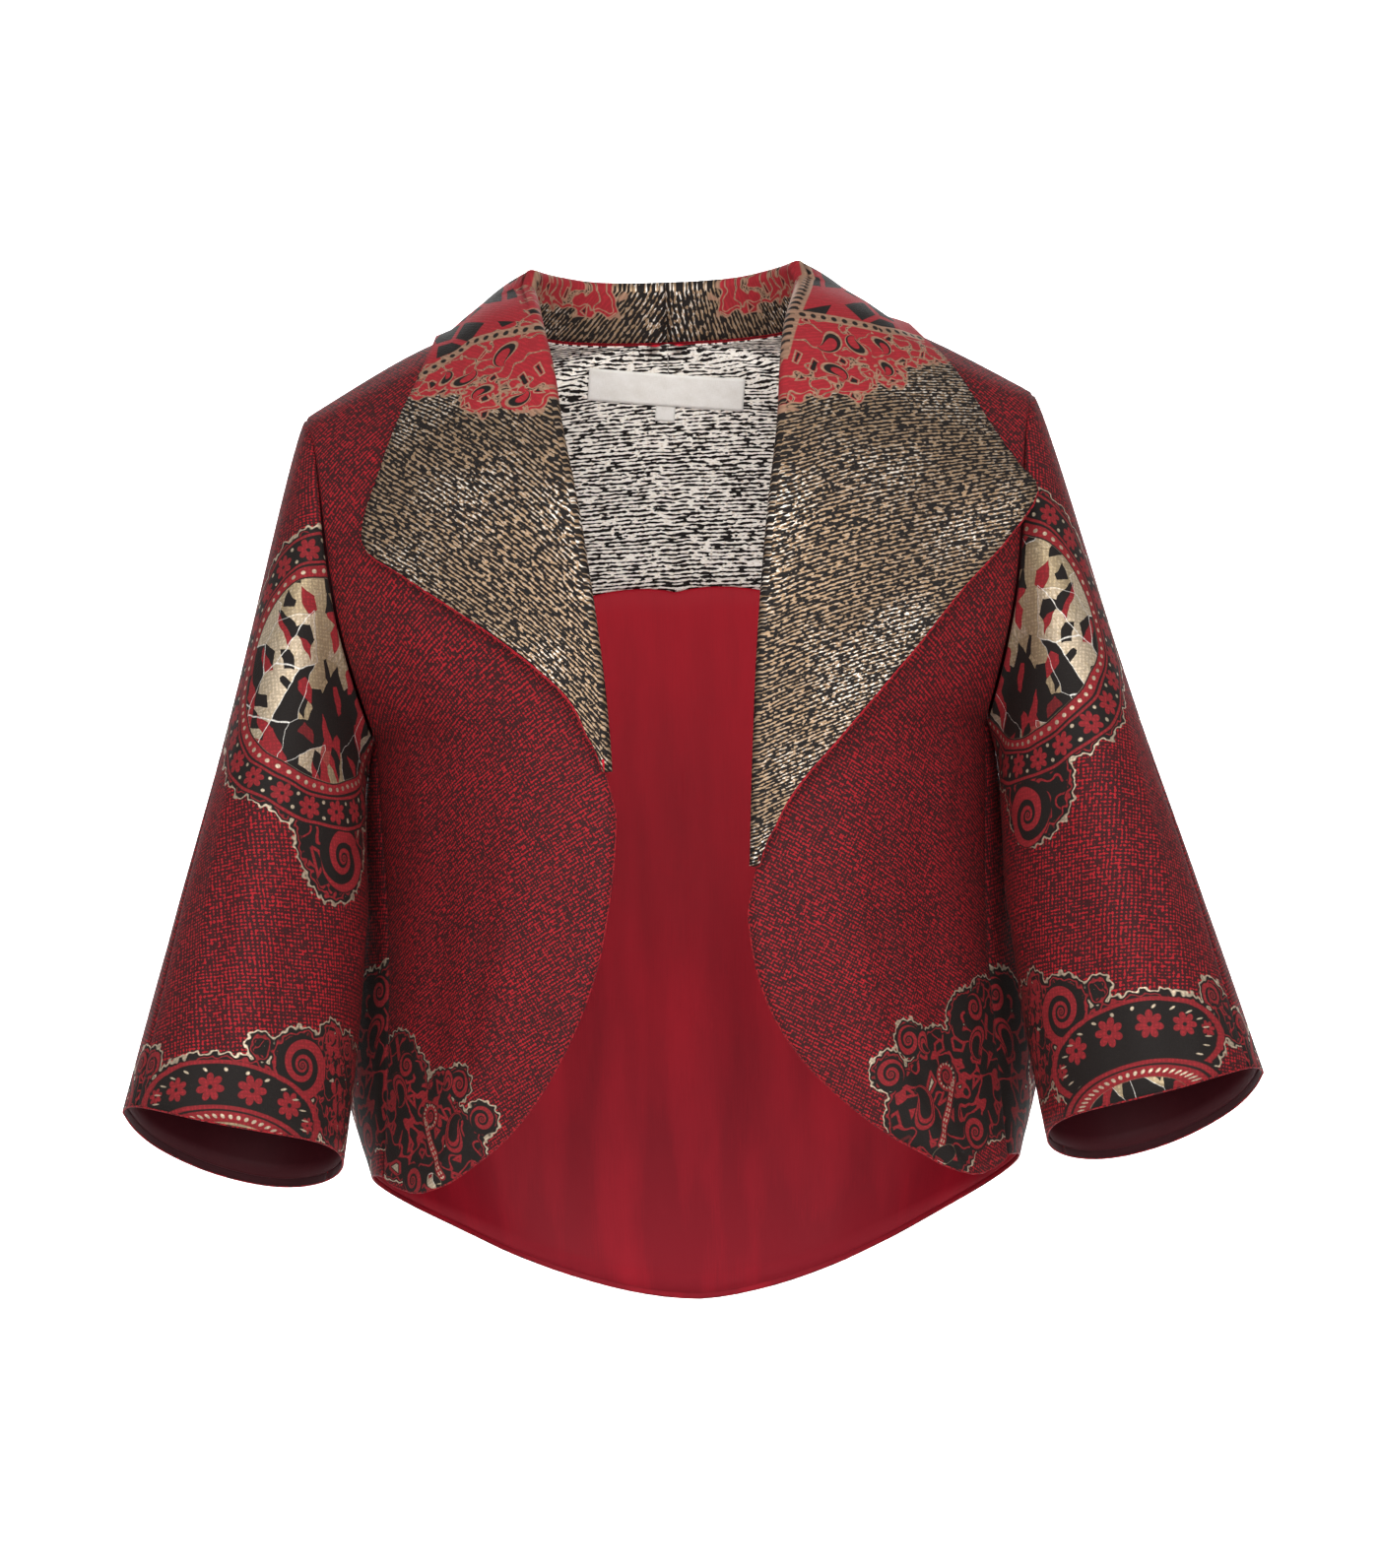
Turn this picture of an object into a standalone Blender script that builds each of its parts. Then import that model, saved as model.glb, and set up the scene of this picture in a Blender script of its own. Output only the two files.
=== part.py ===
"""A cropped brocade jacket, filled out as on a figure.

Metres, +Z up. The front faces -Y and +X is the wearer's left. The origin lies between the neck
points, at the height of the shoulders, where the wearer holds the jacket up. Every piece is an
open sheet through rows or rings, thickened inwards from the face that shows on a closed jacket.
"""
import math

import bpy
import numpy as np
from mathutils import Vector
from mathutils.bvhtree import BVHTree

GARMENT = "brocade_jacket"

# Cloth and seams
SHELL_WALL = 0.0015
FACING_WALL = 0.0010
LINING_WALL = 0.0010
LABEL_WALL = 0.0008
LABEL_GAP = 0.0006
SEAM_GAP = 0.0003
LINED_DEPTH = SHELL_WALL + SEAM_GAP + FACING_WALL

# Collar and lapels; the clearance over the body is a place along the roll and a distance
ROLL_RADIUS = 0.0022
LAPEL_CLEARANCE = [(-1.0, 0.0030), (-0.30, 0.0040), (0.0, 0.0024), (0.10, 0.0020), (0.22, 0.0040)]
COLLAR_SWELL = 0.0024
COLLAR_SWELL_SPREAD = 0.20
FACING_LIFT = SHELL_WALL + SEAM_GAP
ROLL_BUILD = ROLL_RADIUS + FACING_LIFT + FACING_WALL
DEEPEST_PUSH = 0.025
NECK_SEAM_TRIM = 0.0009

# Main sizes, read by the tables below
NECK_HALF = 0.085
SHOULDER_HALF = 0.200
SHOULDER_DROP = 0.052
UNDERARM_DROP = 0.232
BACK_HEM_DROP = 0.556

# Cells along and across each sheet
STAND_ROWS = 6
FRONT_ROWS_COUNT = 26
STAND_COLUMNS = 2
FRONT_COLUMNS = 7
NECK_FADE_PLACE = 0.12
TURN_COLUMNS = 4
LAPEL_COLUMNS = 6
BACK_YOKE_ROWS = 5
BACK_LOWER_ROWS = 12
BACK_COLUMNS = 9
SLEEVE_CAP_ROWS = 8
SLEEVE_LOWER_ROWS = 9
SLEEVE_LINING_ROWS = 4

# Shares of a panel's length: turned-in cuff, fading of folds at seams, reach of the shoulder
# line's shape into the back, and the step that gives a panel's direction at its edge
CUFF_TURN_SHARE = 0.02
FOLD_SWELL_POWER = 0.8
FOLD_FADE = 0.12
SHOULDER_BLEND = 0.20
MITRE_STEP = 0.03

# Curves: row length over its chord, where the stand's columns run to at the neck's fade and at
# the hem, turn under which a row is straight in degrees, least and most reach of a row's handles
# in thirds of its chord, reach of the sleeve head's lower handles, steps along a row's curve
ROW_LENGTH_SHARE = 1.06
STAND_COLUMN_PLACES = (0.21, 0.24)
LEAST_TURN = math.radians(6.0)
HANDLE_REACHES = (0.3, 2.2)
CAP_REACH_SHARE = 0.36
CURVE_STEPS = 65

# Visible roll line at the back of the neck, centre back to shoulder line: x, y, z
BACK_ROLL = [
    (0.0000, 0.0550, 0.0215),
    (0.0200, 0.0540, 0.0216),
    (0.0400, 0.0475, 0.0222),
    (0.0560, 0.0330, 0.0236),
    (0.0660, 0.0170, 0.0248),
    (0.0697, 0.0030, 0.0250),
]

# Share of the shoulder line that lies between the roll and the neck point
SHOULDER_ROLL_X = BACK_ROLL[-1][0]
NECK_PLACE = (NECK_HALF - SHOULDER_ROLL_X) / (SHOULDER_HALF - SHOULDER_ROLL_X)

# Roll line, then front edge: z, x on the wearer's right, x on the wearer's left, y
FRONT_EDGE = [
    (0.0250, 0.0697, 0.0697, 0.0030),
    (0.0115, 0.0670, 0.0670, -0.0220),
    (-0.0120, 0.0640, 0.0620, -0.0500),
    (-0.0410, 0.0590, 0.0585, -0.0770),
    (-0.0720, 0.0553, 0.0558, -0.0970),
    (-0.1100, 0.0488, 0.0500, -0.1130),
    (-0.1500, 0.0435, 0.0447, -0.1210),
    (-0.1950, 0.0385, 0.0400, -0.1255),
    (-0.2400, 0.0355, 0.0365, -0.1270),
    (-0.2900, 0.0360, 0.0335, -0.1270),
    (-0.3250, 0.0410, 0.0320, -0.1260),
    (-0.3500, 0.0465, 0.0340, -0.1250),
    (-0.3800, 0.0575, 0.0425, -0.1230),
    (-0.4050, 0.0705, 0.0575, -0.1195),
    (-0.4280, 0.0860, 0.0790, -0.1130),
    (-0.4470, 0.1040, 0.1020, -0.1040),
    (-0.4590, 0.1200, 0.1220, -0.0945),
]

# Neck seam of the back, neck point to centre back: x, y, z
NECK_SEAM = [
    (NECK_HALF, 0.0031, -0.0025),
    (0.0790, 0.0260, -0.0068),
    (0.0640, 0.0480, -0.0095),
    (0.0360, 0.0630, -0.0108),
    (0.0000, 0.0680, -0.0110),
]

# Centre back, neck to hem: x, y, z
CENTRE_BACK = [
    (0.0, 0.0680, -0.0110),
    (0.0, 0.0830, -0.0450),
    (0.0, 0.0980, -0.0950),
    (0.0, 0.1070, -0.1500),
    (0.0, 0.1100, -0.2100),
    (0.0, 0.1075, -0.2800),
    (0.0, 0.1050, -0.3400),
    (0.0, 0.1085, -0.4100),
    (0.0, 0.1150, -0.4800),
    (0.0, 0.1220, -BACK_HEM_DROP),
]

# Armhole, shoulder to underarm: x, z, y of its front half, y of its back half
ARMHOLE = [
    (SHOULDER_HALF, -SHOULDER_DROP, 0.0040, 0.0040),
    (0.1965, -0.0600, -0.0180, 0.0240),
    (0.1928, -0.0760, -0.0340, 0.0420),
    (0.1898, -0.0980, -0.0470, 0.0560),
    (0.1870, -0.1280, -0.0540, 0.0630),
    (0.1822, -0.1640, -0.0560, 0.0600),
    (0.1748, -0.1980, -0.0490, 0.0440),
    (0.1680, -0.2240, -0.0320, 0.0120),
    (0.1665, -UNDERARM_DROP, -0.0160, -0.0160),
]

# Side seam, underarm to hem: x, y, z
SIDE_SEAM = [
    (0.1665, -0.0160, -UNDERARM_DROP),
    (0.1655, -0.0200, -0.2620),
    (0.1635, -0.0240, -0.3050),
    (0.1630, -0.0310, -0.3500),
    (0.1645, -0.0385, -0.3950),
    (0.1665, -0.0440, -0.4330),
    (0.1685, -0.0470, -0.4650),
]

# Rows of a front: place along its inner edge, place along its outer edge (1 is the underarm),
# angle in plan where it starts and ends in degrees, hollow beside the neck, sag of its middle,
# how level it leaves its inner edge (0 straight, 1 level), fullness of its outer end
FRONT_ROWS = [
    (0.00, 0.00, 0.0, 0.0, 0.0185, 0.0, 0.0, 1.0),
    (0.05, 0.07, -2.0, 8.0, 0.0135, 0.0, 0.0, 1.0),
    (0.12, 0.22, -4.0, 25.0, 0.0040, 0.0, 0.0, 1.0),
    (0.25, 0.45, -5.0, 45.0, 0.0, 0.0, 0.0, 1.0),
    (0.37, 0.68, 0.0, 60.0, 0.0, 0.0, 0.0, 1.0),
    (0.47, 0.88, 2.0, 68.0, 0.0, 0.0, 0.0, 1.0),
    (0.56, 1.05, 2.0, 68.0, 0.0, 0.0, 0.0, 1.0),
    (0.70, 1.38, 3.0, 64.0, 0.0, 0.0, 0.0, 1.0),
    (0.80, 1.63, 9.0, 61.0, 0.0, 0.0020, 0.0, 1.0),
    (0.90, 1.84, 20.0, 60.0, 0.0, 0.0050, 0.0, 1.0),
    (1.00, 2.00, 32.0, 60.0, 0.0, 0.0100, 0.0, 1.0),
]

# Rows of the back: the same columns, with the neck seam's centre and the facing's edge on rows
BACK_NECK_SHARE = 0.20
BACK_HEM_TURN_SHARE = 0.005
BACK_FACING_SHARE = 0.41
BACK_ROWS = [
    (0.00, 0.00, 0.0, 0.0, 0.0, 0.0, 0.0, 1.0),
    (0.07, 0.10, 12.0, -14.0, 0.0, -0.0010, 0.3, 1.0),
    (0.20, 0.36, 4.0, -48.0, 0.0, 0.0, 1.0, 1.0),
    (0.30, 0.58, 0.0, -62.0, 0.0, -0.0060, 1.0, 1.0),
    (0.41, 0.82, 0.0, -84.0, 0.0, -0.0120, 1.0, 1.0),
    (0.50, 1.00, 0.0, -108.0, 0.0, -0.0040, 1.0, 1.15),
    (0.58, 1.18, 0.0, -120.0, 0.0, 0.0, 1.0, 1.50),
    (0.72, 1.48, 0.0, -126.0, 0.0, 0.0, 1.0, 1.75),
    (0.86, 1.76, 0.0, -126.0, 0.0, -0.0010, 1.0, 1.85),
    (1.00, 2.00, 0.0, -112.0, 0.0, -0.0020, 1.0, 1.20),
]

# Outer edge of collar and lapel: place along the roll (-1 centre back, 0 shoulder line), x, y, z
COLLAR_EDGE = [
    (-1.00, 0.0000, 0.1010, -0.0470),
    (-0.60, 0.0500, 0.0950, -0.0450),
    (-0.25, 0.0920, 0.0660, -0.0360),
]
RIGHT_LAPEL_EDGE = COLLAR_EDGE + [
    (0.00, 0.1235, 0.0060, -0.0150),
    (0.05, 0.1265, -0.0180, -0.0250),
    (0.10, 0.1320, -0.0380, -0.0420),
    (0.15, 0.1405, -0.0540, -0.0660),
    (0.20, 0.1500, -0.0670, -0.0930),
    (0.25, 0.1640, -0.0800, -0.1270),
    (0.30, 0.1430, -0.0980, -0.1460),
    (0.35, 0.1180, -0.1130, -0.1640),
    (0.40, 0.0960, -0.1240, -0.1800),
    (0.45, 0.0740, -0.1310, -0.1980),
    (0.50, 0.0570, -0.1330, -0.2160),
    (0.54, 0.0500, -0.1330, -0.2320),
    (0.58, 0.0465, -0.1320, -0.2500),
]
LEFT_LAPEL_EDGE = COLLAR_EDGE + [
    (0.00, 0.1290, 0.0060, -0.0175),
    (0.05, 0.1380, -0.0120, -0.0245),
    (0.10, 0.1500, -0.0280, -0.0370),
    (0.15, 0.1610, -0.0430, -0.0570),
    (0.20, 0.1730, -0.0560, -0.0770),
    (0.25, 0.1850, -0.0660, -0.0970),
    (0.29, 0.1940, -0.0760, -0.1120),
    (0.33, 0.1770, -0.0860, -0.1360),
    (0.38, 0.1490, -0.1020, -0.1650),
    (0.43, 0.1260, -0.1140, -0.1920),
    (0.48, 0.1050, -0.1250, -0.2150),
    (0.53, 0.0820, -0.1310, -0.2400),
    (0.58, 0.0600, -0.1330, -0.2640),
    (0.62, 0.0490, -0.1330, -0.2820),
    (0.66, 0.0440, -0.1320, -0.3020),
]

# Largest folds: from place down and across, to place down and across, half width, height
FRONT_FOLDS = [
    (0.52, 0.30, 1.10, 0.42, 0.13, 0.0028),
    (0.60, 0.62, 1.10, 0.74, 0.10, -0.0024),
    (0.30, 0.80, 0.58, 0.70, 0.09, -0.0020),
]
BACK_FOLDS = [
    (0.36, 0.22, 1.10, 0.30, 0.10, 0.0030),
    (0.42, 0.48, 1.10, 0.52, 0.10, -0.0030),
    (0.24, 0.74, 0.54, 0.66, 0.09, -0.0028),
    (0.60, 0.00, 1.10, 0.00, 0.12, -0.0022),
]
SLEEVE_FOLDS = [
    (0.22, 0.13, 1.10, 0.17, 0.045, 0.0026),
    (0.30, 0.27, 0.96, 0.25, 0.040, -0.0024),
    (0.18, 0.40, 0.80, 0.36, 0.045, 0.0022),
    (0.20, 0.68, 1.10, 0.66, 0.050, -0.0026),
    (0.34, 0.82, 1.10, 0.80, 0.045, 0.0024),
]

SIDES = {
    "right": (-1.0, 1, RIGHT_LAPEL_EDGE, 0.25),
    "left": (1.0, 2, LEFT_LAPEL_EDGE, 0.29),
}

# How the sleeve leaves the armhole: place round it, direction x, y, z, reach
SLEEVE_LEAVES = [
    (0.00, 0.70, 0.00, -0.71, 0.010),
    (0.12, 0.60, -0.30, -0.74, 0.014),
    (0.25, 0.50, -0.45, -0.74, 0.022),
    (0.38, 0.40, -0.35, -0.85, 0.016),
    (0.50, 0.30, -0.15, -0.94, 0.010),
    (0.62, 0.40, 0.05, -0.91, 0.016),
    (0.75, 0.52, 0.12, -0.84, 0.024),
    (0.88, 0.60, 0.10, -0.79, 0.016),
    (1.00, 0.70, 0.00, -0.71, 0.010),
]

# Sleeve rings: place down the lower sleeve, centre x, y, z, half width, half depth,
# lean of the ring to the front and outwards in degrees, seam's turn to the front in degrees,
# drop of its front and of its back
SLEEVE_RINGS = [
    (0.00, 0.2150, -0.0280, -0.2700, 0.0430, 0.0700, 9.0, 7.0, 24.0, 0.0, 0.0),
    (0.35, 0.2235, -0.0450, -0.3280, 0.0505, 0.0700, 13.0, 9.0, 28.0, 0.001, 0.0),
    (0.68, 0.2330, -0.0620, -0.3840, 0.0555, 0.0705, 17.0, 11.0, 32.0, 0.005, 0.002),
    (1.00, 0.2440, -0.0790, -0.4390, 0.0590, 0.0715, 21.0, 13.0, 36.0, 0.013, 0.0045),
]
SLEEVE_CAP_SHARE = 0.5

# Woven label and its size tag on the neck facing: centre x, z, width, height, columns, rows
LABEL_TILT = math.radians(-5.8)
LABELS = {
    "label": (-0.0015, -0.0370, 0.0880, 0.0175, 8, 2),
    "size_tag": (-0.0025, -0.0500, 0.0110, 0.0078, 2, 2),
}

COLOURS = {
    "shell": ((0.42, 0.030, 0.026), 0.62, 0.0),
    "facing": ((0.46, 0.27, 0.10), 0.42, 0.35),
    "neck_facing": ((0.50, 0.40, 0.24), 0.32, 0.55),
    "lining": ((0.40, 0.020, 0.028), 0.38, 0.0),
    "label": ((0.78, 0.74, 0.66), 0.60, 0.0),
}


def slopes(marks, values):
    """Slope at each mark of a smooth curve through the values."""
    gaps = np.diff(marks)[:, None]
    secants = np.diff(values, axis=0) / gaps
    inner = (gaps[:-1] * secants[1:] + gaps[1:] * secants[:-1]) / (gaps[:-1] + gaps[1:])
    first = 1.5 * secants[:1] - 0.5 * inner[:1]
    last = 1.5 * secants[-1:] - 0.5 * inner[-1:]
    return np.vstack([first, inner, last])


def smooth(marks, values, places):
    """Values between the marks, on a smooth curve through them."""
    marks = np.asarray(marks, float)
    values = np.asarray(values, float)
    places = np.atleast_1d(np.asarray(places, float))
    tangent = slopes(marks, values)
    index = np.clip(np.searchsorted(marks, places) - 1, 0, len(marks) - 2)
    step = (marks[index + 1] - marks[index])[:, None]
    t = (places[:, None] - marks[index][:, None]) / step
    start = (1 + 2 * t) * (1 - t) ** 2 * values[index] + t * (1 - t) ** 2 * step * tangent[index]
    end = t * t * (3 - 2 * t) * values[index + 1] - t * t * (1 - t) * step * tangent[index + 1]
    return start + end


def table(rows, places):
    """Reads a table whose first column is the place, for each place asked."""
    rows = np.asarray(rows, float)
    return smooth(rows[:, 0], rows[:, 1:], places)


def along(points, places):
    """Points on a smooth curve, 0 at its start and 1 at its end by length."""
    points = np.asarray(points, float)
    steps = np.linalg.norm(np.diff(points, axis=0), axis=1)
    marks = np.concatenate([[0.0], np.cumsum(steps)])
    return smooth(marks / marks[-1], points, places)


def unit(vectors):
    """Vectors scaled to length 1."""
    return vectors / np.maximum(np.linalg.norm(vectors, axis=-1, keepdims=True), 1e-12)


def fold_heights(folds, down, across):
    """Height of the folds at each place down and across a panel, as a grid."""
    down = np.asarray(down, float)[:, None]
    across = np.asarray(across, float)
    across = across if across.ndim == 2 else across[None, :]
    heights = np.zeros(np.broadcast_shapes(down.shape, across.shape))
    for down_a, across_a, down_b, across_b, half_width, height in folds:
        share = np.clip((down - down_a) / (down_b - down_a), 0.0, 1.0)
        line = across_a + (across_b - across_a) * share
        swell = np.sin(math.pi * share) ** FOLD_SWELL_POWER
        heights = heights + height * swell * np.exp(-((across - line) / half_width) ** 2)
    return heights


def armhole(places, front):
    """The armhole, 0 at the shoulder and 1 at the underarm."""
    rows = [(x, y_front if front else y_back, z) for x, z, y_front, y_back in ARMHOLE]
    return along(rows, places)


def outer_edge(places, front):
    """Armhole from 0 to 1, then the side seam from 1 to 2."""
    places = np.atleast_1d(np.asarray(places, float))
    upper = armhole(np.clip(places, 0.0, 1.0), front)
    lower = along(SIDE_SEAM, np.clip(places - 1.0, 0.0, 1.0))
    return np.where(places[:, None] <= 1.0, upper, lower)


def bowed_row(start, end, first_angle, last_angle, fullness, places):
    """Points on an arc in plan that leaves the start and meets the end at the given angles."""
    turn = math.radians(abs(last_angle - first_angle))
    leave = np.array([math.cos(math.radians(first_angle)), math.sin(math.radians(first_angle))])
    meet = np.array([math.cos(math.radians(last_angle)), math.sin(math.radians(last_angle))])
    chord = end[:2] - start[:2]
    third = np.linalg.norm(chord) / 3.0
    reach_a = reach_b = third
    if turn > LEAST_TURN:
        cross = leave[0] * meet[1] - leave[1] * meet[0]
        to_corner = (chord[0] * meet[1] - chord[1] * meet[0]) / cross
        from_corner = (leave[0] * chord[1] - leave[1] * chord[0]) / cross
        share = 4.0 / 3.0 * math.tan(turn / 4.0) / math.tan(turn / 2.0)
        shortest, longest = (reach * third for reach in HANDLE_REACHES)
        reach_a = min(max(share * to_corner, shortest), longest)
        reach_b = min(max(share * from_corner, shortest), longest)
    reach_b *= fullness
    t = np.linspace(0.0, 1.0, CURVE_STEPS)[:, None]
    corners = [start[:2], start[:2] + reach_a * leave, end[:2] - reach_b * meet, end[:2]]
    plan = ((1 - t) ** 3 * corners[0] + 3 * t * (1 - t) ** 2 * corners[1]
            + 3 * t * t * (1 - t) * corners[2] + t ** 3 * corners[3])
    lengths = np.concatenate([[0.0], np.cumsum(np.linalg.norm(np.diff(plan, axis=0), axis=1))])
    lengths /= lengths[-1]
    return np.stack([np.interp(places, lengths, plan[:, axis]) for axis in (0, 1)], axis=-1)


def panel_rows(inner, rows, outer_front, row_places, column_places):
    """Rows of a front or back panel, as an array of points."""
    values = table(rows, row_places)
    outer = outer_edge(values[:, 0], outer_front)
    points = []
    for i, start in enumerate(inner):
        places = column_places[i] if np.ndim(column_places) == 2 else column_places
        plan = bowed_row(start, outer[i], values[i, 1], values[i, 2], values[i, 6], places)
        near_neck = places / NECK_PLACE
        level = values[i, 5] * places * (3.0 - 2.0 * places) + 1.0 - values[i, 5]
        height = start[2] + (outer[i, 2] - start[2]) * places * level
        height = height - values[i, 3] * near_neck * np.exp(1.0 - near_neck)
        height = height - values[i, 4] * 4.0 * places * (1.0 - places)
        points.append(np.column_stack([plan, height]))
    return np.array(points)


def front_edge(places, column):
    """Visible roll line and front edge of one front, by length."""
    return along([(row[column], row[3], row[0]) for row in FRONT_EDGE], places)


def swelled(points, folds, down, across):
    """Points of a body panel moved out by its folds, away from the body's upright middle."""
    across = np.asarray(across, float)
    fade = np.clip(np.minimum(across, 1.0 - across) / FOLD_FADE, 0.0, 1.0)
    heights = fold_heights(folds, down, across) * fade
    away = unit(points * np.array([1.0, 1.0, 0.0]))
    return points + away * heights[..., None]


def front_points(places, columns, column):
    """Outer face of a front, for rows at the places, columns from edge to armhole."""
    points = panel_rows(front_edge(places, column), FRONT_ROWS, True, places, columns)
    return swelled(points, FRONT_FOLDS, places, columns)


def back_inner(places):
    """Neck seam, then centre back."""
    places = np.atleast_1d(np.asarray(places, float))
    neck = along(NECK_SEAM, np.clip(places / BACK_NECK_SHARE, 0.0, 1.0))
    centre = along(CENTRE_BACK, np.clip((places - BACK_NECK_SHARE) / (1 - BACK_NECK_SHARE), 0.0, 1.0))
    return np.where(places[:, None] <= BACK_NECK_SHARE, neck, centre)


def back_points(places, columns):
    """Outer face of the left half of the back, its first row on the front's shoulder line."""
    places = np.asarray(places, float)
    columns = np.asarray(columns, float)
    shoulder_columns = NECK_PLACE + (1.0 - NECK_PLACE) * columns
    shoulder = panel_rows(front_edge([0.0], 1), FRONT_ROWS, True, [0.0], shoulder_columns)
    own = panel_rows(back_inner([0.0]), BACK_ROWS, False, [0.0], columns)
    blend = np.clip(1.0 - places / SHOULDER_BLEND, 0.0, 1.0) ** 2
    points = panel_rows(back_inner(places), BACK_ROWS, False, places, columns)
    points = points + (shoulder - own) * blend[:, None, None]
    middle = 0.5 + 0.5 * np.asarray(columns, float)
    heights = fold_heights(BACK_FOLDS, places, columns)
    fade = np.clip((1.0 - middle) / (0.5 * FOLD_FADE), 0.0, 1.0)
    away = unit(points * np.array([1.0, 1.0, 0.0]))
    return points + away * (heights * fade)[..., None]


def stand_points(places, columns):
    """Outer face of the collar stand: rows from centre back to the shoulder line."""
    top = along(BACK_ROLL, places + 1.0)
    foot = along(NECK_SEAM[::-1], places + 1.0)
    columns = np.asarray(columns, float)
    columns = columns if columns.ndim == 2 else np.tile(columns, (len(places), 1))
    return top[:, None, :] + (foot - top)[:, None, :] * columns[:, :, None]


def sleeve_ring(places, turns):
    """Rings of the lower sleeve: turns run 0 overarm seam, 0.25 front, 0.5 underarm seam."""
    values = table(SLEEVE_RINGS, places)
    rings = []
    for cx, cy, cz, half_width, half_depth, forward, outward, seam, front_drop, back_drop in values:
        tilt, lean = math.radians(forward), math.radians(outward)
        across = np.array([math.cos(lean), 0.0, math.sin(lean)])
        ahead = np.array([0.0, -math.cos(tilt), math.sin(tilt)])
        angle = math.radians(seam) + 2.0 * math.pi * np.asarray(turns)
        side, front = np.cos(angle), np.sin(angle)
        ring = np.array([cx, cy, cz]) + half_width * side[:, None] * across
        ring = ring + half_depth * front[:, None] * ahead
        ring[:, 2] -= front ** 2 * np.where(front > 0.0, front_drop, back_drop)
        rings.append(ring)
    return np.array(rings)


def sleeve_middle(down):
    """Middle of a sleeve at each place down it."""
    top = np.array([SHOULDER_HALF, 0.0, -SHOULDER_DROP])
    first = np.array(SLEEVE_RINGS[0][1:4])
    share = np.clip(down / SLEEVE_CAP_SHARE, 0.0, 1.0)[:, None]
    upper = top + (first - top) * share
    lower = table(SLEEVE_RINGS, np.clip((down - SLEEVE_CAP_SHARE) / (1.0 - SLEEVE_CAP_SHARE), 0.0, 1.0))
    return np.where(down[:, None] < SLEEVE_CAP_SHARE, upper, lower[:, :3])


def sleeve_cap(places, turns):
    """Sleeve head, from the armhole at 0 to the first ring at 1."""
    turns = np.asarray(turns, float)
    front = armhole(np.clip(2.0 * turns, 0.0, 1.0), True)
    back = armhole(np.clip(2.0 - 2.0 * turns, 0.0, 1.0), False)
    start = np.where(turns[:, None] <= 0.5, front, back)
    leave = table(SLEEVE_LEAVES, turns)
    near = sleeve_ring([0.0, 0.05], turns)
    down = unit(near[1] - near[0])
    reach = CAP_REACH_SHARE * np.linalg.norm(near[0] - start, axis=1, keepdims=True)
    a = start + unit(leave[:, :3]) * leave[:, 3:]
    b = near[0] - down * reach
    t = np.asarray(places, float)[:, None, None]
    return ((1 - t) ** 3 * start + 3 * t * (1 - t) ** 2 * a + 3 * t * t * (1 - t) * b
            + t ** 3 * near[0])


def sleeve_points(turns):
    """Outer face of a sleeve, armhole to cuff, with its folds."""
    cap_places = np.linspace(0.0, 1.0, SLEEVE_CAP_ROWS + 1)
    lower_places = np.append(np.linspace(0.0, 1.0 - CUFF_TURN_SHARE, SLEEVE_LOWER_ROWS)[1:], 1.0)
    points = np.concatenate([sleeve_cap(cap_places, turns), sleeve_ring(lower_places, turns)])
    down = np.concatenate([SLEEVE_CAP_SHARE * cap_places,
                           SLEEVE_CAP_SHARE + (1.0 - SLEEVE_CAP_SHARE) * lower_places])
    heights = fold_heights(SLEEVE_FOLDS, down, turns)
    away = unit(points - sleeve_middle(down)[:, None, :])
    return points + away * heights[..., None]


def sleeve_tube(side):
    """The sleeve lining near the cuff: rows of the sleeve as a tube, moved in, short of its edge."""
    turns = np.concatenate([sleeve_turns(side, True)[:-1], sleeve_turns(side, False)[:-1]])
    grid = sleeve_points(turns)
    rows, columns = grid.shape[:2]
    quads = [(i * columns + j, i * columns + (j + 1) % columns,
              (i + 1) * columns + (j + 1) % columns, (i + 1) * columns + j)
             for i in range(rows - 1) for j in range(columns)]
    sheet = Sheet(grid.reshape(-1, 3), halved(grid.reshape(-1, 3), quads))
    first, last = (rows - 2 - SLEEVE_LINING_ROWS) * columns, (rows - 1) * columns
    kept = [face for face in sheet.faces if min(face) >= first and max(face) < last]
    return part_of(sheet.moved(-FACING_LIFT).points, kept)


def drawn_in(grid, edge, amount):
    """Moves one edge of a grid of points towards its neighbours, to leave a seam gap."""
    grid = grid.copy()
    amount = np.reshape(amount, (-1, 1)) if np.ndim(amount) else amount
    edges = {"first_row": (0, 1), "last_row": (-1, -2)}
    if edge in edges:
        at, beside = edges[edge]
        grid[at] += unit(grid[beside] - grid[at]) * amount
    else:
        at, beside = {"first_column": (0, 1), "last_column": (-1, -2)}[edge]
        grid[:, at] += unit(grid[:, beside] - grid[:, at]) * amount
    return grid


def halved(points, quads):
    """Each quad as two triangles, cut along its shorter diagonal."""
    triangles = []
    for a, b, c, d in quads:
        if np.linalg.norm(points[a] - points[c]) <= np.linalg.norm(points[b] - points[d]):
            triangles += [(a, b, c), (a, c, d)]
        else:
            triangles += [(a, b, d), (b, c, d)]
    return triangles


def grid_faces(grid):
    """Triangles of a full grid of points numbered row by row."""
    rows, columns = grid.shape[:2]
    quads = [(i * columns + j, i * columns + j + 1,
              (i + 1) * columns + j + 1, (i + 1) * columns + j)
             for i in range(rows - 1) for j in range(columns - 1)]
    return halved(grid.reshape(-1, 3), quads)


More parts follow.
